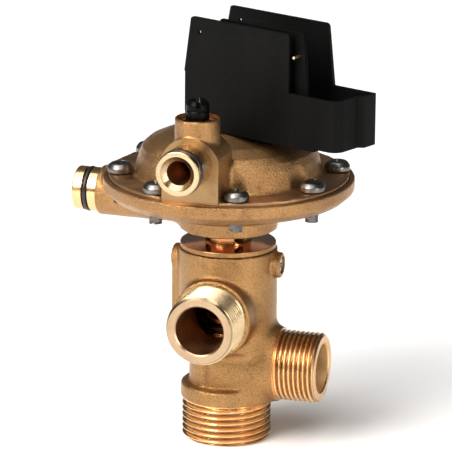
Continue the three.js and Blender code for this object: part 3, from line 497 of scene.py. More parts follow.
def turned_brass(name, colour, axis="Z", centre=(0, 0, 0), roughness=0.2, turn=0.0, thread=None):
    """Machined brass with tool rings about an axis that is turned about Z by turn degrees, and stains.

    thread gives the root and crest radius of a thread, whose roots are painted darker as shade.
    """
    s = Shader(name)
    straight = s.node("ShaderNodeMapping", Vector=s.place)
    straight.inputs["Rotation"].default_value = (0, 0, -math.radians(turn))
    split = s.node("ShaderNodeSeparateXYZ", Vector=straight.outputs["Vector"])
    x, y, z = split.outputs
    a, b, out = {"Z": (x, y, z), "Y": (x, z, y), "X": (y, z, x)}[axis]
    ca, cb = {"Z": (centre[0], centre[1]), "Y": (centre[0], centre[2]), "X": (centre[1], centre[2])}[axis]
    da, db = s.math("SUBTRACT", a, ca * MM), s.math("SUBTRACT", b, cb * MM)
    radius = s.math("SQRT", s.math("ADD", s.math("MULTIPLY", da, da), s.math("MULTIPLY", db, db)))
    profile = s.node("ShaderNodeCombineXYZ", X=radius, Y=out)
    rings = s.noise(profile.outputs["Vector"], 5200.0, 2.0, 0.7)
    wide = s.noise(profile.outputs["Vector"], 900.0, 2.0, 0.5)
    stain = s.noise(s.place, 95.0, 5.0, 0.6)
    dark = tuple(c * k for c, k in zip(colour, (0.80, 0.70, 0.60)))
    tint = s.mix(s.span(stain, 0.45, 0.75, 0.0, 0.7), colour, dark)
    tint = s.mix(s.span(wide, 0.4, 0.7, 0.0, 0.3), tint, tuple(min(1.0, c * 1.12) for c in colour))
    if thread is not None:
        root, crest = thread
        # Painted shade: the colour darkens towards the thread root, the crease between crests.
        tint = s.mix(s.span(radius, root * MM, crest * MM, 0.8, 0.0), tint, tuple(c * 0.3 for c in colour))
    normal = s.bump(rings, 0.00003, 0.5)
    rough = s.span(stain, 0.3, 0.8, roughness * 0.8, roughness * 1.7)
    return s.finish(tint, rough, normal, Metallic=1.0)


def steel(name, colour, roughness):
    s = Shader(name)
    blotch = s.noise(s.place, 420.0, 4.0, 0.6)
    fine = s.noise(s.place, 3000.0, 2.0, 0.5)
    tint = s.mix(s.span(blotch, 0.35, 0.7, 0.0, 1.0), colour, tuple(c * 0.6 for c in colour))
    rough = s.span(blotch, 0.3, 0.7, roughness * 0.8, roughness * 1.5)
    return s.finish(tint, rough, s.bump(fine, 0.00003, 0.5), Metallic=1.0)


def rubber(name, shade, roughness):
    s = Shader(name)
    dust = s.noise(s.place, 700.0, 4.0, 0.6)
    tint = s.mix(s.span(dust, 0.55, 0.8, 0.0, 0.5), (shade,) * 3, (shade * 2.6 + 0.01,) * 3)
    rough = s.span(dust, 0.3, 0.7, roughness * 0.85, roughness * 1.2)
    return s.finish(tint, rough, s.bump(dust, 0.00004, 0.4))


def black_plastic(name, roughness=0.5):
    """Glass-filled moulding: eroded mould texture, faint flow marks and a few pale scuffs."""
    s = Shader(name)
    texture = s.noise(s.place, 1900.0, 3.0, 0.6)
    flow = s.noise(s.scaled((60.0, 60.0, 14.0)), 1.0, 4.0, 0.6)
    base = s.mix(s.span(flow, 0.35, 0.7, 0.0, 1.0), (0.0016, 0.0015, 0.0015), (0.0034, 0.0032, 0.0031))
    streak = s.noise(s.scaled((900.0, 900.0, 130.0), (3.1, 0.4, 7.7)), 1.0, 5.0, 0.7)
    scuffed = s.math("MULTIPLY", s.span(streak, 0.66, 0.78, 0.0, 1.0),
                     s.span(s.noise(s.place, 48.0, 2.0, 0.5), 0.52, 0.66, 0.0, 0.55))
    colour = s.mix(scuffed, base, (0.05, 0.049, 0.047))
    fleck = s.span(s.noise(s.place, 2300.0, 2.0, 0.5), 0.71, 0.76, 0.0, 0.7)
    patch = s.span(s.noise(s.place, 36.0, 1.0, 0.5), 0.55, 0.62, 0.0, 0.8)
    colour = s.mix(s.math("MULTIPLY", fleck, patch), colour, (0.09, 0.086, 0.08))
    rough = s.span(texture, 0.3, 0.7, roughness * 0.85, roughness * 1.25)
    normal = s.bump(texture, 0.00005, 0.55)
    return s.finish(colour, rough, normal, Specular_IOR_Level=0.08)


CAST = cast_brass("cast_brass", (0.42, 0.235, 0.092), (0.27, 0.14, 0.050))
CAST_COVER = cast_brass("cast_brass_cover", (0.40, 0.22, 0.090), (0.26, 0.135, 0.052), 0.9)
FACE = (0.50, 0.35, 0.22)
GOLD = (0.90, 0.56, 0.28)
COPPER = (0.60, 0.26, 0.10)
TURNED_Z = turned_brass("turned_brass_upright", GOLD, "Z", roughness=0.24)
TURNED_FRONT = turned_brass("turned_brass_front_port", FACE, "Y", (0, 0, FRONT_Z), 0.24)
TURNED_RIGHT = turned_brass("turned_brass_right_port", GOLD, "X", (0, 0, RIGHT_Z), 0.24)
TURNED_NECK = turned_brass("turned_brass_neck", COPPER, "Z", roughness=0.16)
TURNED_FLANGE = turned_brass("turned_brass_cover_flange", (0.42, 0.24, 0.12), "Z", roughness=0.36)
TURNED_SPIGOT = turned_brass("turned_brass_spigot", (0.56, 0.42, 0.25), "Y", (0, 0, FRONT_SPIGOT_Z), 0.22,
                             turn=ACTUATOR_TURN)
BLOCK_FACE = turned_brass("faced_brass_block", (0.34, 0.21, 0.10), "Y", (0, 0, FRONT_SPIGOT_Z), 0.36,
                          turn=ACTUATOR_TURN)
TURNED_SIDE = turned_brass("turned_brass_side_spigot", GOLD, "X", (0, 0, SIDE_SPIGOT_Z), 0.2,
                           turn=ACTUATOR_TURN)
BORE = turned_brass("bored_brass", (0.52, 0.27, 0.12), "Z", roughness=0.33)
# The right port's bore gets a brighter copy of the bore colour, which is painted light on that bore wall. The
# front bore keeps the darker BORE colour.
PORT_BORE_PAINTED_LIGHT = turned_brass("bored_brass_right_port_painted_light", (0.98, 0.72, 0.40), "X", (0, 0, RIGHT_Z), 0.38)
# The three thread materials paint shade into their thread roots.
THREAD_BOTTOM = turned_brass("thread_brass_bottom_port", GOLD, "Z", roughness=0.24, thread=(15.3, 16.2))
THREAD_FRONT = turned_brass("thread_brass_front_port", (0.66, 0.50, 0.30), "Y", (0, 0, FRONT_Z), 0.24,
                            thread=(12.3, 13.0))
THREAD_RIGHT = turned_brass("thread_brass_right_port", GOLD, "X", (0, 0, RIGHT_Z), 0.24, thread=(12.2, 12.95))
CAP = turned_brass("turned_brass_cap", (0.80, 0.52, 0.38), "Z", roughness=0.14)
PIN = turned_brass("pale_brass_pin", (0.88, 0.70, 0.42), "Y", roughness=0.25)
RING = turned_brass("copper_ring", (0.86, 0.62, 0.48), "Z", roughness=0.25)
SCREW = steel("dark_zinc_steel", (0.22, 0.205, 0.19), 0.30)
BRIGHT = steel("bright_zinc_steel", (0.66, 0.63, 0.58), 0.24)
PLATE = steel("pressed_plate_steel", (0.56, 0.55, 0.53), 0.35)
SPRING = steel("spring_steel", (0.60, 0.60, 0.60), 0.25)
RUBBER = rubber("black_rubber", 0.012, 0.32)
DIAPHRAGM = rubber("diaphragm_rubber", 0.03, 0.55)
PLASTIC = black_plastic("black_plastic")
KNOB_PLASTIC = black_plastic("black_knob_plastic", 0.28)

# ---- finishing a piece


def polish(obj, angle=32):
    """Smooth shading, with edges sharper than angle kept sharp."""
    mesh = obj.data
    mesh.polygons.foreach_set("use_smooth", [True] * len(mesh.polygons))
    mesh.set_sharp_from_angle(angle=math.radians(angle))


def face_centres(mesh):
    centres = np.zeros(len(mesh.polygons) * 3)
    mesh.polygons.foreach_get("center", centres)
    return centres.reshape(-1, 3)


def show(obj, name, body, nodes, materials, choose=None, place=BODY_PLACE, angle=32):
    """Names a finished mesh, gives it its materials, puts it in place and lets it ride on its body.

    choose(x, y, z) gives each face's material number from its centre, in millimetres.
    """
    obj.name = obj.data.name = name
    mesh = obj.data
    mesh.materials.clear()
    for material in materials:
        mesh.materials.append(material)
    centres = face_centres(mesh)
    index = np.zeros(len(centres), np.int32)
    if choose is not None:
        index[:] = choose(*centres.T)
    mesh.polygons.foreach_set("material_index", index)
    polish(obj, angle)
    mesh.transform(place @ Matrix.Scale(MM, 4))
    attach(obj, body)
    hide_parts(*nodes)
    return obj


def piece(obj, made_how, node, body, material, place=BODY_PLACE):
    """Shows a finished mesh of one material that takes the place of one node."""
    return show(obj, f"{made_how}_{node}", body, [node], [material], None, place)


# ---- valve body

VOXEL = 0.42
SIDE_THREAD_RADIUS = 13.1
SIDE_BORE = 9.05
BOTTOM_THREAD_RADIUS = 16.6
BOTTOM_THREAD_TOP = 15.7
BOTTOM_BORE = 12.4
FRONT_ROOT = 21.0
RIGHT_ROOT = 21.1


def valve_body():
    c = Casting((-24, -24, 13), (24, 21, BARREL_TOP + 2), VOXEL)
    core = c.turned([
        (0, BOTTOM_THREAD_TOP), (17.15, BOTTOM_THREAD_TOP, 0.7), (17.15, 21.3, 1.1), (13.2, 21.6, 1.0),
        (13.2, 34.2, 3.0), (18.3, 37.2, 1.3), (18.3, BARREL_TOP, 0.25), (0, BARREL_TOP),
    ])
    column = np.maximum(c.turned([(0, 20), (14.1, 20), (14.1, 39), (0, 39)]), c.x + 5.2)
    right_root = c.rod(13.8, -2, RIGHT_ROOT, "X", (0, RIGHT_Z), 0.5)
    front_root = c.rod(14.7, -FRONT_ROOT, 0, "Y", (0, FRONT_Z), 0.8)
    shape = blend(core, right_root, 4.5)
    shape = blend(shape, column, 0.7)
    shape = blend(shape, front_root, 1.6)
    rib = c.turned([(0, 44, 2), (3.9, 44, 3.5), (3.9, BOSS_Z), (0, BOSS_Z)], (-17.7, 0))
    shape = blend(shape, rib, 1.2)
    for side in (-1, 1):
        reach = 20.9
        boss = c.rod(4.8, min(side * reach, 0), max(side * reach, 0), "X", (0, BOSS_Z), 0.9)
        shape = blend(shape, boss, 1.0)
    body = c.mesh(shape + c.unevenness(0.05))

    join(
        body,
        threaded(BOTTOM_THREAD_RADIUS, 2.309, -BOTTOM_THREAD_TOP - 0.6, 0, 15.0, "-Z"),
        threaded(SIDE_THREAD_RADIUS, 1.814, FRONT_ROOT - 0.6, FRONT_REACH, 12.0, "-Y", (0, 0, FRONT_Z)),
        threaded(SIDE_THREAD_RADIUS, 1.814, RIGHT_ROOT - 0.6, RIGHT_REACH, 12.0, "X", (0, 0, RIGHT_Z)),
    )
    waterway = turned([
        (0, -1), (BOTTOM_BORE + 1.2, -1), (BOTTOM_BORE, 0.6), (BOTTOM_BORE, 17.2, 0.5), (10.5, 17.2),
        (10.5, 19.2), (8.2, 19.2), (8.2, 21.2), (10, 21.2, 1), (10, 38.9, 1), (8.2, 38.9), (8.2, 40.2),
        (10.5, 40.2), (10.5, 41.5),
        (14.2, 41.5, 1), (14.2, 60, 0.5), (15.3, 60), (15.3, BARREL_TOP + 3), (0, BARREL_TOP + 3),
    ], 128)
    front_bore, right_bore = (
        [(0, 0), (SIDE_BORE, 0), (SIDE_BORE, reach - 0.5), (SIDE_BORE + 0.9, reach + 0.4), (0, reach + 0.4)]
        for reach in (FRONT_REACH, RIGHT_REACH)
    )
    cut(
        body,
        slab((-40, -40, BARREL_TOP), (40, 40, BARREL_TOP + 5)),
        waterway,
        turned(front_bore, 128, "-Y", (0, 0, FRONT_Z)),
        turned(right_bore, 128, "X", (0, 0, RIGHT_Z)),
        rod(2.5, -30, 30, "X", (0, 0, BOSS_Z), 48),
        rod(3.2, 19.9, 24, "X", (0, 0, BOSS_Z), 48, 3.6),
        rod(3.2, 19.9, 24, "-X", (0, 0, BOSS_Z), 48, 3.6),
    )

    def choose(x, y, z):
        front = np.hypot(x, z - FRONT_Z)
        right = np.hypot(y, z - RIGHT_Z)
        axis = np.hypot(x, y)
        index = np.zeros(len(x), int)
        index[(z < BOTTOM_THREAD_TOP - 0.05) & (axis < 17)] = 1
        index[(y < -FRONT_ROOT + 0.1) & (front < 13.5)] = 2
        index[(x > RIGHT_ROOT - 0.1) & (right < 13.5)] = 3
        index[(z < BOTTOM_THREAD_TOP - 0.05) & (z > 0.4) & (axis > 14.9) & (axis < 17)] = 6
        index[(y < -FRONT_ROOT + 0.1) & (y > -FRONT_REACH + 0.1) & (front < 13.5) & (front > 11.7)] = 7
        index[(x > RIGHT_ROOT - 0.1) & (x < RIGHT_REACH - 0.1) & (right < 13.5) & (right > 11.7)] = 8
        inner = (axis < 14.4) & (z > 0.7) & (z < BARREL_TOP - 0.2)
        bores = (front < SIDE_BORE + 0.05) & (y > -FRONT_REACH + 0.6) & (y < 0)
        bores |= (right < SIDE_BORE + 0.05) & (x < RIGHT_REACH - 0.6) & (x > 0)
        cast_outside = (axis > 12.6) & (z > 15.8) & (z < 38)
        index[inner & ~cast_outside & (axis < 12.5) | inner & (z > 40) | bores] = 4
        # The right port's bore wall takes the painted-light copy of the bore colour.
        index[bores & (x > 14.0)] = 5
        return index

    show(
        body, "cast_valve_body", "housing", ["valve_body"],
        [CAST, TURNED_Z, TURNED_FRONT, TURNED_RIGHT, BORE, PORT_BORE_PAINTED_LIGHT, THREAD_BOTTOM, THREAD_FRONT,
         THREAD_RIGHT],
        choose,
    )


def gland_cartridge():
    outline = [
        (3.3, 60.3), (15.0, 60.3, 0.5), (15.0, 61.6), (13.0, 61.6), (13.0, 63.9), (15.0, 63.9),
        (15.0, 65.2),
        (13.4, 65.2), (13.4, 70.6), (15.0, 70.6), (15.0, 73.8), (17.8, 73.8, 0.2), (17.8, 75.7, 0.45),
        (8.65, 75.7, 0.3), (8.65, 84.0), (7.2, 84.0), (7.2, 86.2), (8.65, 86.2), (8.65, 87.0, 0.3),
        (6.0, 87.0, 0.3),
        (6.0, 76.0), (3.3, 76.0, 0.3), (3.3, 73.6), (5.2, 73.6), (5.2, 71.0), (3.3, 71.0),
    ]
    cartridge = turned(outline, 128)
    holes = []
    for i in range(4):
        hole = rod(2.1, 4.5, 10, "X", (0, 0, 78.4), 32)
        hole.data.transform(Matrix.Rotation(math.radians(45 + 90 * i), 4, "Z"))
        holes.append(hole)
    cut(cartridge, *holes)

    def choose(x, y, z):
        axis = np.hypot(x, y)
        rim = (axis > 17.4) & (z < 75.4)
        return np.where((z > 75.9) & (axis < 8.7), np.where(axis < 8.4, 2, 1), np.where(rim, 3, 0))

    show(cartridge, "turned_gland_cartridge", "housing", ["gland_cartridge"],
         [CAP, TURNED_NECK, BORE, CAST], choose)


def boss_screw(side, name):
    head = 20.3
    screw = turned([
        (0, 13.7), (1.6, 13.7), (2.2, 14.4), (2.2, 19.5), (2.8, 19.95), (2.8, head, 0.3), (0, head + 0.1),
    ], 48, "X" if side > 0 else "-X", (0, 0, BOSS_Z))
    low_x, high_x = sorted((side * (head - 0.9), side * (head + 1)))
    arms = [slab((low_x, -1.9, -0.36), (high_x, 1.9, 0.36)), slab((low_x, -0.36, -1.9), (high_x, 0.36, 1.9))]
    for arm in arms:
        arm.data.transform(Matrix.Translation((0, 0, BOSS_Z)) @ Matrix.Rotation(math.radians(35), 4, "X"))
    cut(screw, *arms)
    show(screw, name + "_detail", "housing", [name], [BRIGHT])


# ---- actuator

def spigot_cuts(reach, groove, bore_end, axis, z):
    centre = (0, 0, z)
    outer, inner = groove
    core = rod(6.5, inner - 1, outer + 1, axis, centre)
    ring = cut(rod(SPIGOT_RADIUS + 2, inner, outer, axis, centre), core)
    bore = turned([
        (0, bore_end), (SPIGOT_BORE, bore_end), (SPIGOT_BORE, reach - 1.7, 0.2), (6.3, reach - 0.1),
        (6.9, reach + 1), (0, reach + 1),
    ], 96, axis, centre)
    return [ring, bore]


def screw_places():
    for i in range(SCREW_COUNT):
        angle = math.radians(FIRST_SCREW + 360 / SCREW_COUNT * i)
        yield SCREW_CIRCLE * math.sin(angle), -SCREW_CIRCLE * math.cos(angle)


def lower_housing():
    z = SIDE_SPIGOT_Z
    c = Casting((-52, -49, HUB_BOTTOM - 2), (49, 49, LIP_TOP + 2), 0.5)
    dish = c.turned([
        (0, HUB_BOTTOM), (18.2, HUB_BOTTOM, 0.8), (18.2, 86.8, 1.5), (24.5, 87.6, 2.0), (43.2, 93.7, 1.5),
        (DISH_RADIUS, 96.6, 1.2), (DISH_RADIUS, LIP_TOP, 0.5), (0, LIP_TOP),
    ])
    duct = c.rod(9.2, -49.7, -8, "X", (0, z), 0.6)
    shape = blend(dish, duct, 3.5)
    housing = c.mesh(shape + c.unevenness(0.04))
    spigot = [(0, 47), (SPIGOT_RADIUS, 47), (SPIGOT_RADIUS, SIDE_REACH, 0.5), (0, SIDE_REACH)]
    join(housing, turned(spigot, 96, "-X", (0, 0, z)))
    chamber = turned([
        (0, 89.9), (24.5, 89.9, 1.5), (33.4, 96.0, 0.8), (33.4, 96.9), (44.6, 96.9), (44.6, LIP_TOP + 2),
        (0, LIP_TOP + 2),
    ], 160)
    hub_bore = [
        (0, HUB_BOTTOM - 1), (9.9, HUB_BOTTOM - 0.2), (8.95, HUB_BOTTOM + 0.6), (8.95, 87.3), (0, 87.3),
    ]
    holes = [rod(2.75, 80, 97.5, "Z", (x, y, 0), 32) for x, y in screw_places()]
    cut(
        housing,
        slab((-60, -60, LIP_TOP), (60, 60, LIP_TOP + 5)),
        chamber,
        turned(hub_bore, 96),
        rod(3.3, 86, 91, segments=48),
        *spigot_cuts(SIDE_REACH, (55.4, 52.9), 18, "-X", z),
        *holes,
    )

    def choose(x, y, zz):
        axis = np.hypot(x, y)
        around_spigot = np.hypot(y, zz - z)
        index = np.zeros(len(x), int)
        index[(zz > LIP_TOP - 0.12) | (zz > 96.8) & (axis < 44.7)] = 1
        index[(axis < 34) & (zz > 89.8) & (zz < 97.1) | (axis < 9.1)] = 2
        index[(x < -49.6) & (around_spigot < 9)] = 3
        index[(around_spigot < SPIGOT_BORE + 0.1) & (x > -57.5) & (x < -17)] = 2
        return index

    show(housing, "cast_lower_housing", "housing", ["lower_housing"],
         [CAST_COVER, TURNED_FLANGE, BORE, TURNED_SIDE], choose, TURN)


def upper_cover():
    top = high("upper_cover").z
    z = FRONT_SPIGOT_Z
    boss_y = -ADJUSTER_RADIUS
    c = Casting((-46, -46, 99.0), (46, 46, top + 2), 0.5)
    dome = c.turned([
        (0, 100.5), (35.0, 100.5), (35.0, 102.2, 0.8), (34.3, 105.0, 3.0), (33.0, 109.4, 3.0),
        (31.7, 112.2, 0.4),
        (29.6, 113.9, 0.8), (23.8, 116.4, 6.0), (12.6, 119.0, 1.0), (0, 119.0),
    ])
    for x, y in screw_places():
        pocket = np.maximum(np.hypot(c.x - x, c.y - y) - 7.2, FLANGE_TOP - 0.4 - c.z)
        h = np.maximum(0.9 - np.abs(dome + pocket), 0) / 0.9
        dome = np.maximum(dome, -pocket) + h * h * 0.9 / 4
    flange = c.turned([(0, 99.2), (44.3, 99.2), (44.3, FLANGE_TOP, 0.25), (0, FLANGE_TOP)])
    shape = blend(dome, flange, 1.6)
    flank = c.box((-10.7, -44.5, 100.5), (10.7, -28, z - 1.8), 0.3)
    round_part = np.maximum(c.rod(11.5, -44.5, -28, "Y", (0, z - 1.8), 0.3), np.abs(c.x) - 10.7)
    shape = blend(shape, np.minimum(flank, round_part), 1.2)
    boss = c.turned([(0, 100.5), (8.2, 100.5), (8.2, top, 0.3), (0, top)], (0, boss_y))
    shape = blend(shape, boss, 0.9)
    cover = c.mesh(shape + c.unevenness(0.04))
    cut(cover, slab((-60, -60, top), (60, 60, top + 5)), slab((-60, -60, 90), (60, 60, 100.0)))
    flange_disc = turned([
        (37.3, 97.2), (44.3, 97.2, 0.2), (44.3, 101.0), (30.5, 101.0), (30.5, 98.5), (37.3, 98.5),
    ], 192)
    cut(cover, slab((-10.8, -60, 101.1), (10.8, -BLOCK_FACE_REACH, 125.2)))
    spigot = turned([
        (0, 42.0), (SPIGOT_RADIUS, 42.0), (SPIGOT_RADIUS, FRONT_SPIGOT_REACH, 0.45),
        (0, FRONT_SPIGOT_REACH),
    ], 128, "-Y", (0, 0, z))
    join(cover, flange_disc, spigot)
    chamber = turned([
        (0, 96), (30.5, 96), (30.5, 108.5, 2), (28.5, 110.8, 2), (14.0, 114.5, 1), (0, 114.5),
    ], 160)
    well = [(0, 117.7), (7.2, 117.7), (7.2, top - 0.5), (7.55, top + 0.2), (0, top + 0.2)]
    holes = []
    for x, y in screw_places():
        holes.append(rod(2.8, 90, FLANGE_TOP + 2, "Z", (x, y, 0), 32))
        holes.append(rod(5.4, FLANGE_TOP - 0.02, FLANGE_TOP + 6, "Z", (x, y, 0), 48))
    cut(
        cover,
        chamber,
        turned(well, 96, "Z", (0, boss_y, 0)),
        rod(7.5, 128.35, 129.75, "Z", (0, boss_y, 0), 96),
        rod(4.5, 104, top, "Z", (0, boss_y, 0), 64),
        rod(2.0, 25, -boss_y, "-Y", (0, 0, 106.5), 32),
        rod(7.0, 110, 125, segments=64),
        *spigot_cuts(FRONT_SPIGOT_REACH, (55.2, 52.7), ADJUSTER_RADIUS, "-Y", z),
        *holes,
    )

    def choose(x, y, zz):
        axis = np.hypot(x, y)
        around_spigot = np.hypot(x, zz - z)
        around_boss = np.hypot(x, y - boss_y)
        index = np.zeros(len(x), int)
        index[(np.abs(zz - FLANGE_TOP) < 0.15) & (axis > 34.4) | (zz < 101.9) & (axis > 43.5)] = 1
        block = (zz > 101.2) & (zz < 125.1)
        block_face = np.abs(y + BLOCK_FACE_REACH) < 0.05
        index[block & (y < 0.1 - BLOCK_FACE_REACH)] = 2
        index[block & block_face] = 4
        index[(around_boss < 7.7) & (zz > 104) & (zz < top - 0.1)] = 3
        index[(around_boss < 8.3) & (zz > top - 0.12)] = 1
        index[(around_spigot < SPIGOT_BORE + 0.1) & (y > -55.6) & (y < -30) & ~block_face] = 3
        ceiling = 114.7 - np.maximum(axis - 14.0, 0) * 0.25
        index[(axis < 30.6) & (zz < ceiling) & (around_boss > 8.3)] = 3
        return index

    show(cover, "cast_upper_cover", "housing", ["upper_cover"],
         [CAST_COVER, TURNED_FLANGE, TURNED_SPIGOT, BORE, BLOCK_FACE], choose, TURN)


def cover_screw(number, x, y):
    under = FLANGE_TOP + 0.3
    head = under + 3.8
    outline = [
        (0, 90.5), (1.7, 90.5), (2.3, 91.3), (2.3, under, 0.2), (4.75, under, 0.35),
        (4.75, under + 1.7, 1.0),
        (3.6, under + 3.35, 1.6), (1.2, head), (0, head),
    ]
    screw = turned(outline, 64)
    thread = threaded(2.45, 0.8, 90.6, 98.0, 1.9, "Z", (0, 0, 0), 40)
    join(screw, thread)
    arms = []
    for turn in (0, 90):
        arm = prism([(-2.5, 0), (2.5, 0), (1.1, -2.2), (-1.1, -2.2)], -0.5, 0.5, "Y")
        arm.data.transform(Matrix.Rotation(math.radians(turn), 4, "Z"))
        arm.data.transform(Matrix.Translation((0, 0, head + 0.05)))
        arms.append(arm)
    cut(screw, *arms)
    screw.data.transform(Matrix.Rotation(math.radians(37 * number), 4, "Z"))
    place = TURN @ Matrix.Translation(Vector((x, y, 0)) * MM)
    name = f"cover_screw_{number}"
    show(screw, "pan_head_screw_" + str(number), "housing", [name], [SCREW], None, place)


def spigot_ring(name, axis, reach, z):
    ring = ring_of(7.5, 0.95, axis, (0, 0, 0))
    ring.data.transform(Matrix.Translation(Vector((-reach, 0, z) if axis == "-X" else (0, -reach, z))))
    show(ring, name + "_round", "housing", [name], [RUBBER], None, TURN)


# ---- bracket


def switch_bracket():
    box_low, wall, bottom, floor_top = -10.4, 1.3, 119.4, 121.0
    back, left, inner, right = 10.7, -12.7, 57.2, 59.2
    plate_top, tray_top, corner = high("switch_bracket").z - 1.0, 139.2, 4.2
    tray = prism([
        (left, box_low, 0.3), (inner, box_low, corner), (inner, 2.0, 0.9), (right, 3.3, 0.9),
        (right, back, 1.2), (left, back, 0.3),
    ], bottom, tray_top)
    hollow = prism([
        (left - 5, box_low + wall), (inner - wall, box_low + wall, corner - wall),
        (inner - wall, 2.6, 0.5),
        (right - wall, 3.9, 0.5), (right - wall, back - wall, 0.6), (left - 5, back - wall),
    ], floor_top, tray_top + 5)
    cut(tray, hollow)
    upper_front = prism([
        (left, 125), (36.0, 125), (36.0, tray_top - 0.6), (35.3, tray_top - 0.2), (35.3, plate_top, 1.2),
        (-10.0, plate_top, 1.2),
        (-13.0, 140.2, 0.3), (left, 139.6),
    ], box_low, box_low + wall, "Y")
    upper_back = prism([
        (-8.6, 125), (41.6, 125), (40.4, tray_top - 0.5, 0.5), (37.6, plate_top + 1.0, 1.6),
        (-7.5, plate_top + 1.0, 0.8),
        (-8.5, plate_top - 4.0),
    ], back - wall, back, "Y")
    middle = prism([
        (12.0, 120.4), (40.9, 120.4), (40.9, 137.6), (38.8, plate_top, 1.6), (0.4, plate_top, 0.8),
        (0.4, 127.5, 0.6), (12.0, 127.5, 0.6),
    ], -6.4, -5.2, "Y")
    cut(tray, slab((left - 1, back - 3, floor_top), (-8.6, back + 1, tray_top + 1)))
    join(tray, upper_front, upper_back, middle)
    web = slab((40.0, -6.4, 120.4), (41.2, 9.6, 124.0))
    join(tray, web)
    underside = slab((-20, -20, 118), (70, 20, bottom + 1.0))
    keep_step = slab((-20, -20, 117), (47.0, 20, bottom + 1.2))
    cut(underside, keep_step)
    cut(
        tray,
        underside,
        rod(5.2, 110, 125, segments=64),
        rod(0.7, -1, 12, "-Y", (-6.0, 0, 155.4), 32),
        rod(0.7, -12, 1, "-Y", (-3.0, 0, 157.0), 32),
        rod(0.65, 4, 8, "-Y", (36.8, 0, 152.3), 32),
    )
    bevelled(tray, 0.22)
    show(tray, "moulded_switch_bracket", "housing", ["switch_bracket"], [PLASTIC], None,
         BRACKET_PLACE, 40)
    pin = turned([(0, 5.2), (0.5, 5.2), (0.55, 9.9, 0.25), (0, 9.9)], 32, "-Y", (36.8, 0, 152.3))
    piece(pin, "brass", "switch_pin", "housing", PIN, BRACKET_PLACE)


def hexagon_nut(name, corner_radius, bore, bottom, height, body, place=BODY_PLACE):
    angles = [math.radians(60 * i) for i in range(6)]
    corners = [(corner_radius * math.cos(a), corner_radius * math.sin(a)) for a in angles]
    blank = prism(corners, bottom, bottom + height)
    flat = corner_radius * math.cos(math.pi / 6)
    top = bottom + height
    crown = turned([
        (0, bottom), (flat * 0.97, bottom), (corner_radius, bottom + 0.35), (corner_radius, top - 0.5),
        (flat * 0.97, top), (0, top),
    ], 64)
    keep_common(blank, crown)
    hole = [(0, bottom - 1), (bore, bottom - 1), (bore, top - 0.3), (bore + 0.5, top + 0.2), (0, top + 0.2)]
    cut(blank, turned(hole, 48))
    piece(blank, "chamfered", name, body, TURNED_Z, place)


def top_bush():
    bush = turned([
        (4.4, 111.5), (6.7, 111.5, 0.3), (6.7, 119.0), (4.9, 119.0), (4.9, 126.2, 0.4), (2.3, 126.2, 0.3),
        (2.3, 114.2), (4.4, 114.2),
    ], 64)
    piece(bush, "turned", "top_bush", "housing", TURNED_Z, BRACKET_PLACE)


# ---- adjusting screw


def adjuster():
    bush = turned([
        (2.9, 118.0), (6.9, 118.0, 0.3), (6.9, 128.2, 0.3), (5.2, 128.2), (5.2, 129.4, 0.3),
        (2.9, 129.4, 0.2), (2.9, 123.6),
        (5.0, 123.6), (5.0, 121.0), (2.9, 121.0),
    ], 64)
    piece(bush, "moulded", "adjuster_bush", "housing", KNOB_PLASTIC, ADJUSTER_PLACE)
    half_gap = math.radians(25)
    angles = np.linspace(half_gap, 2 * math.pi - half_gap, 72)
    outer = [(6.9 * math.cos(a), 6.9 * math.sin(a)) for a in angles]
    inner = [(5.5 * math.cos(a), 5.5 * math.sin(a)) for a in angles[::-1]]
    ring = bevelled(prism(outer + inner, 128.5, 129.6), 0.15, 50)
    piece(ring, "split", "snap_ring", "housing", RING, ADJUSTER_PLACE)
    needle = turned([
        (0, 106.5), (0.7, 106.5, 0.3), (2.3, 110.6, 0.4), (2.5, 111.4), (2.5, 120.0), (2.2, 120.3),
        (2.2, 120.7), (2.5, 121.0),
        (2.5, 133.0, 0.3), (0, 133.0),
    ], 48)
    piece(needle, "turned", "adjust_needle", "needle", TURNED_Z, ADJUSTER_PLACE)
    knob = turned([
        (2.8, 130.4, 0.2), (4.25, 130.4, 0.3), (4.25, 133.4, 0.25), (4.0, 133.8, 0.25),
        (4.25, 134.2, 0.25), (4.25, 136.1, 0.9),
        (3.1, 137.5, 0.8), (0, 137.5), (0, 133.3), (2.8, 133.3),
    ], 72)
    slots = [slab((-0.75, -6, 135.3), (0.75, 6, 139)), slab((-6, -0.75, 135.3), (6, 0.75, 139))]
    cut(knob, *slots)
    knob.data.transform(Matrix.Rotation(math.radians(22), 4, "Z"))
    bevelled(knob, 0.14, 40)
    piece(knob, "slotted", "adjust_knob", "knob", KNOB_PLASTIC, ADJUSTER_PLACE)


# ---- stem, discs and seats


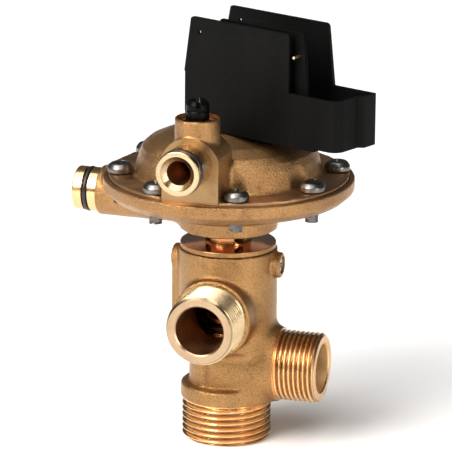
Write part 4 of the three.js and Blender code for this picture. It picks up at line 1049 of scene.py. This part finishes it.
def stem_parts():
    stem = turned([
        (0, 3.0), (2.6, 3.0), (3.0, 3.5), (3.0, 6.0), (2.7, 6.2), (2.7, 6.5), (3.0, 6.7), (3.0, 66.0),
        (3.0, 95.0), (2.7, 95.3),
        (2.7, 95.7), (3.0, 96.0), (3.0, 98.0, 0.3), (0, 98.4),
    ], 64)
    piece(stem, "turned", "valve_stem", "stem", TURNED_Z)
    spindle = turned([
        (0, 98.8), (1.7, 98.8), (2.0, 99.3), (2.0, 128.2, 0.3), (1.2, 129.0, 0.3), (0, 129.0),
    ], 48)
    piece(spindle, "ground", "switch_spindle", "stem", SPRING)
    seals = (("upper_disc_seal", 10.5, 42.5, 44.9), ("lower_disc_seal", 10.2, 8.7, 11.1))
    for name, outer, bottom, top in seals:
        seal = turned([(3.3, bottom), (outer, bottom, 0.9), (outer, top, 0.9), (3.3, top)], 96)
        piece(seal, "moulded", name, "stem", RUBBER)
    upper = turned([
        (3.3, 45.2), (8.0, 45.2, 0.3), (8.0, 47.0, 0.4), (4.9, 47.0, 0.5), (4.9, 48.8, 0.4), (3.3, 48.8),
    ], 96)
    piece(upper, "turned", "upper_disc", "stem", TURNED_Z)
    lower = turned([(3.3, 6.3), (8.5, 6.3, 0.5), (8.5, 8.4, 0.3), (3.3, 8.4)], 96)
    piece(lower, "turned", "lower_disc", "stem", TURNED_Z)
    for name, bottom, top in (("lower_seat", 16.4, 18.9), ("upper_seat", 40.5, 42.2)):
        seat = turned([(7.6, bottom, 0.3), (10.2, bottom, 0.3), (10.2, top, 0.3), (7.6, top, 0.3)], 96)
        piece(seat, "turned", name, "housing", TURNED_Z)
    hexagon_nut("lower_disc_nut", 4.9, 3.3, 3.6, 2.4, "stem")


def diaphragm_stack():
    plates = {
        "diaphragm_plate_lower": [(3.3, 90.4), (21.5, 90.4, 0.5), (21.5, 91.6, 0.5), (3.3, 91.6)],
        "diaphragm_plate_upper": [
            (3.3, 93.2), (21.8, 93.2, 0.8), (21.8, 95.4, 0.4), (20.4, 95.4, 0.4), (20.2, 94.4, 0.6),
            (3.3, 94.4),
        ],
    }
    for name, outline in plates.items():
        piece(turned(outline, 96), "pressed", name, "stem", PLATE)
    hexagon_nut("diaphragm_nut", 5.8, 3.3, 94.7, 2.8, "stem")
    sheet = turned([
        (3.3, 91.9), (22.5, 91.9, 1.5), (32.5, 97.2, 1.5), (37.0, 97.2, 0.3), (37.0, 98.2, 0.3),
        (32.2, 98.2, 1.5),
        (22.2, 92.9, 1.5), (3.3, 92.9),
    ], 128)
    piece(sheet, "moulded", "diaphragm", "housing", DIAPHRAGM)
    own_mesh(sheet)


def spring(name, coil, wire, turns, bottom, top):
    """A coil spring with closed end turns, wound between bottom and top and riding on the housing."""
    steps_per_turn = 40
    closed = 0.8
    pitch_turns = turns + 2 * closed
    count = int(pitch_turns * steps_per_turn)
    turn = np.linspace(0, pitch_turns, count + 1)
    rise = np.clip((turn - closed) / turns, 0, 1)
    low_z, high_z = bottom + wire, top - wire
    room = high_z - low_z - 2 * 1.1 * wire
    end_rise = np.clip(turn / closed, 0, 1) + np.clip((turn - closed - turns) / closed, 0, 1)
    heights = low_z + 1.1 * wire * end_rise + room * rise
    sides = 12
    around = np.linspace(0, 2 * np.pi, sides, endpoint=False)
    vertices = []
    for t, z in zip(turn, heights):
        angle = 2 * math.pi * t
        radial = coil + wire * np.cos(around)
        vertices.extend(zip(radial * math.cos(angle), radial * math.sin(angle), z + wire * np.sin(around)))
    faces = []
    for i in range(count):
        ring, following = i * sides, (i + 1) * sides
        for k in range(sides):
            n = (k + 1) % sides
            faces.append((ring + k, following + k, following + n, ring + n))
    faces += [tuple(range(sides)), tuple(range(count * sides, (count + 1) * sides))[::-1]]
    obj = raw_object(name, vertices, faces)
    if mesh_volume(obj.data) < 0:
        obj.data.flip_normals()
    piece(obj, "wound", name, "housing", SPRING)
    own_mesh(obj)


def inner_rings():
    rings = (
        ("gland_oring", 14.15, 0.85, 62.75, 96, BODY_PLACE),
        ("stem_oring", 4.25, 0.85, 72.3, 96, BODY_PLACE),
        ("neck_oring", 8.1, 0.65, 85.1, 96, BODY_PLACE),
        ("spindle_oring", 3.2, 0.85, 112.85, 64, BODY_PLACE),
        ("adjuster_oring", 3.8, 0.85, 122.3, 64, ADJUSTER_PLACE),
    )
    for name, radius, wire, z, segments, place in rings:
        ring = ring_of(radius, wire, "Z", (0, 0, z), segments, 14)
        piece(ring, "round", name, "housing", RUBBER, place)


# ---- assembly

valve_body()
gland_cartridge()
boss_screw(1, "boss_screw_right")
boss_screw(-1, "boss_screw_left")
lower_housing()
upper_cover()
for screw_number, (screw_x, screw_y) in enumerate(screw_places(), 1):
    cover_screw(screw_number, screw_x, screw_y)
spigot_ring("side_spigot_oring", "-X", 54.15, SIDE_SPIGOT_Z)
spigot_ring("front_spigot_oring", "-Y", 53.95, FRONT_SPIGOT_Z)
switch_bracket()
hexagon_nut("bracket_nut", 8.3, 5.2, 121.3, 3.2, "housing", BRACKET_PLACE)
top_bush()
adjuster()
stem_parts()
diaphragm_stack()
spring("valve_spring", 6.6, 0.6, 3.4, 47.3, 60.0)
spring("return_spring", 10.6, 0.75, 3.4, 94.7, 114.2)
inner_rings()

# ---- floor, lights and camera


def floor():
    size = 6.0
    corners = [(-size, -size, 0), (size, -size, 0), (size, size, 0), (-size, size, 0)]
    obj = raw_object("floor", corners, [(0, 1, 2, 3)])
    obj.data.materials.append(Shader("pale_floor").finish((0.95, 0.95, 0.95), 0.9))


def light(name, place, target, size, power, colour=(1, 1, 1)):
    data = bpy.data.lights.new(name, "AREA")
    data.shape = "RECTANGLE"
    data.size, data.size_y = size
    data.energy = power
    data.color = colour
    obj = bpy.data.objects.new(name, data)
    bpy.context.scene.collection.objects.link(obj)
    obj.location = place
    obj.rotation_euler = (Vector(target) - Vector(place)).to_track_quat("-Z", "Y").to_euler()


def camera():
    azimuth, elevation, roll = math.radians(16.72), math.radians(16.0), math.radians(0.54)
    level = math.cos(elevation)
    back = Vector((math.sin(azimuth) * level, -math.cos(azimuth) * level, math.sin(elevation)))
    side = Vector((math.cos(azimuth), math.sin(azimuth), 0))
    up = back.cross(side)
    right = side * math.cos(roll) + up * math.sin(roll)
    upward = up * math.cos(roll) - side * math.sin(roll)
    distance = 1.433
    target = Vector((0, 0, 0.081)) - right * 0.00089
    data = bpy.data.cameras.new("camera")
    data.lens = 309.0
    data.clip_end = 50.0
    obj = bpy.data.objects.new("camera", data)
    bpy.context.scene.collection.objects.link(obj)
    turn = Matrix((right, upward, back)).transposed().to_4x4()
    obj.matrix_world = Matrix.Translation(target + back * distance) @ turn
    bpy.context.scene.camera = obj


def studio():
    world = bpy.data.worlds.new("studio")
    bpy.context.scene.world = world
    world.use_nodes = True
    sky = world.node_tree.nodes["Background"]
    sky.inputs["Color"].default_value = (1.0, 0.98, 0.95, 1)
    sky.inputs["Strength"].default_value = 0.08
    middle = (0, 0, 0.09)
    light("key", (-0.45, -0.85, 0.80), middle, (0.6, 0.8), 16.0, (1.0, 0.97, 0.92))
    light("fill", (0.95, -0.55, 0.35), middle, (0.2, 0.7), 4.0, (1.0, 0.96, 0.90))
    overhead = bpy.data.lights.new("overhead", "SUN")
    overhead.energy = 3.0
    overhead.angle = math.radians(70)
    obj = bpy.data.objects.new("overhead", overhead)
    bpy.context.scene.collection.objects.link(obj)
    obj.rotation_euler = (math.radians(25), math.radians(-12), 0)
    bpy.context.scene.view_settings.view_transform = "Standard"


floor()
camera()
studio()
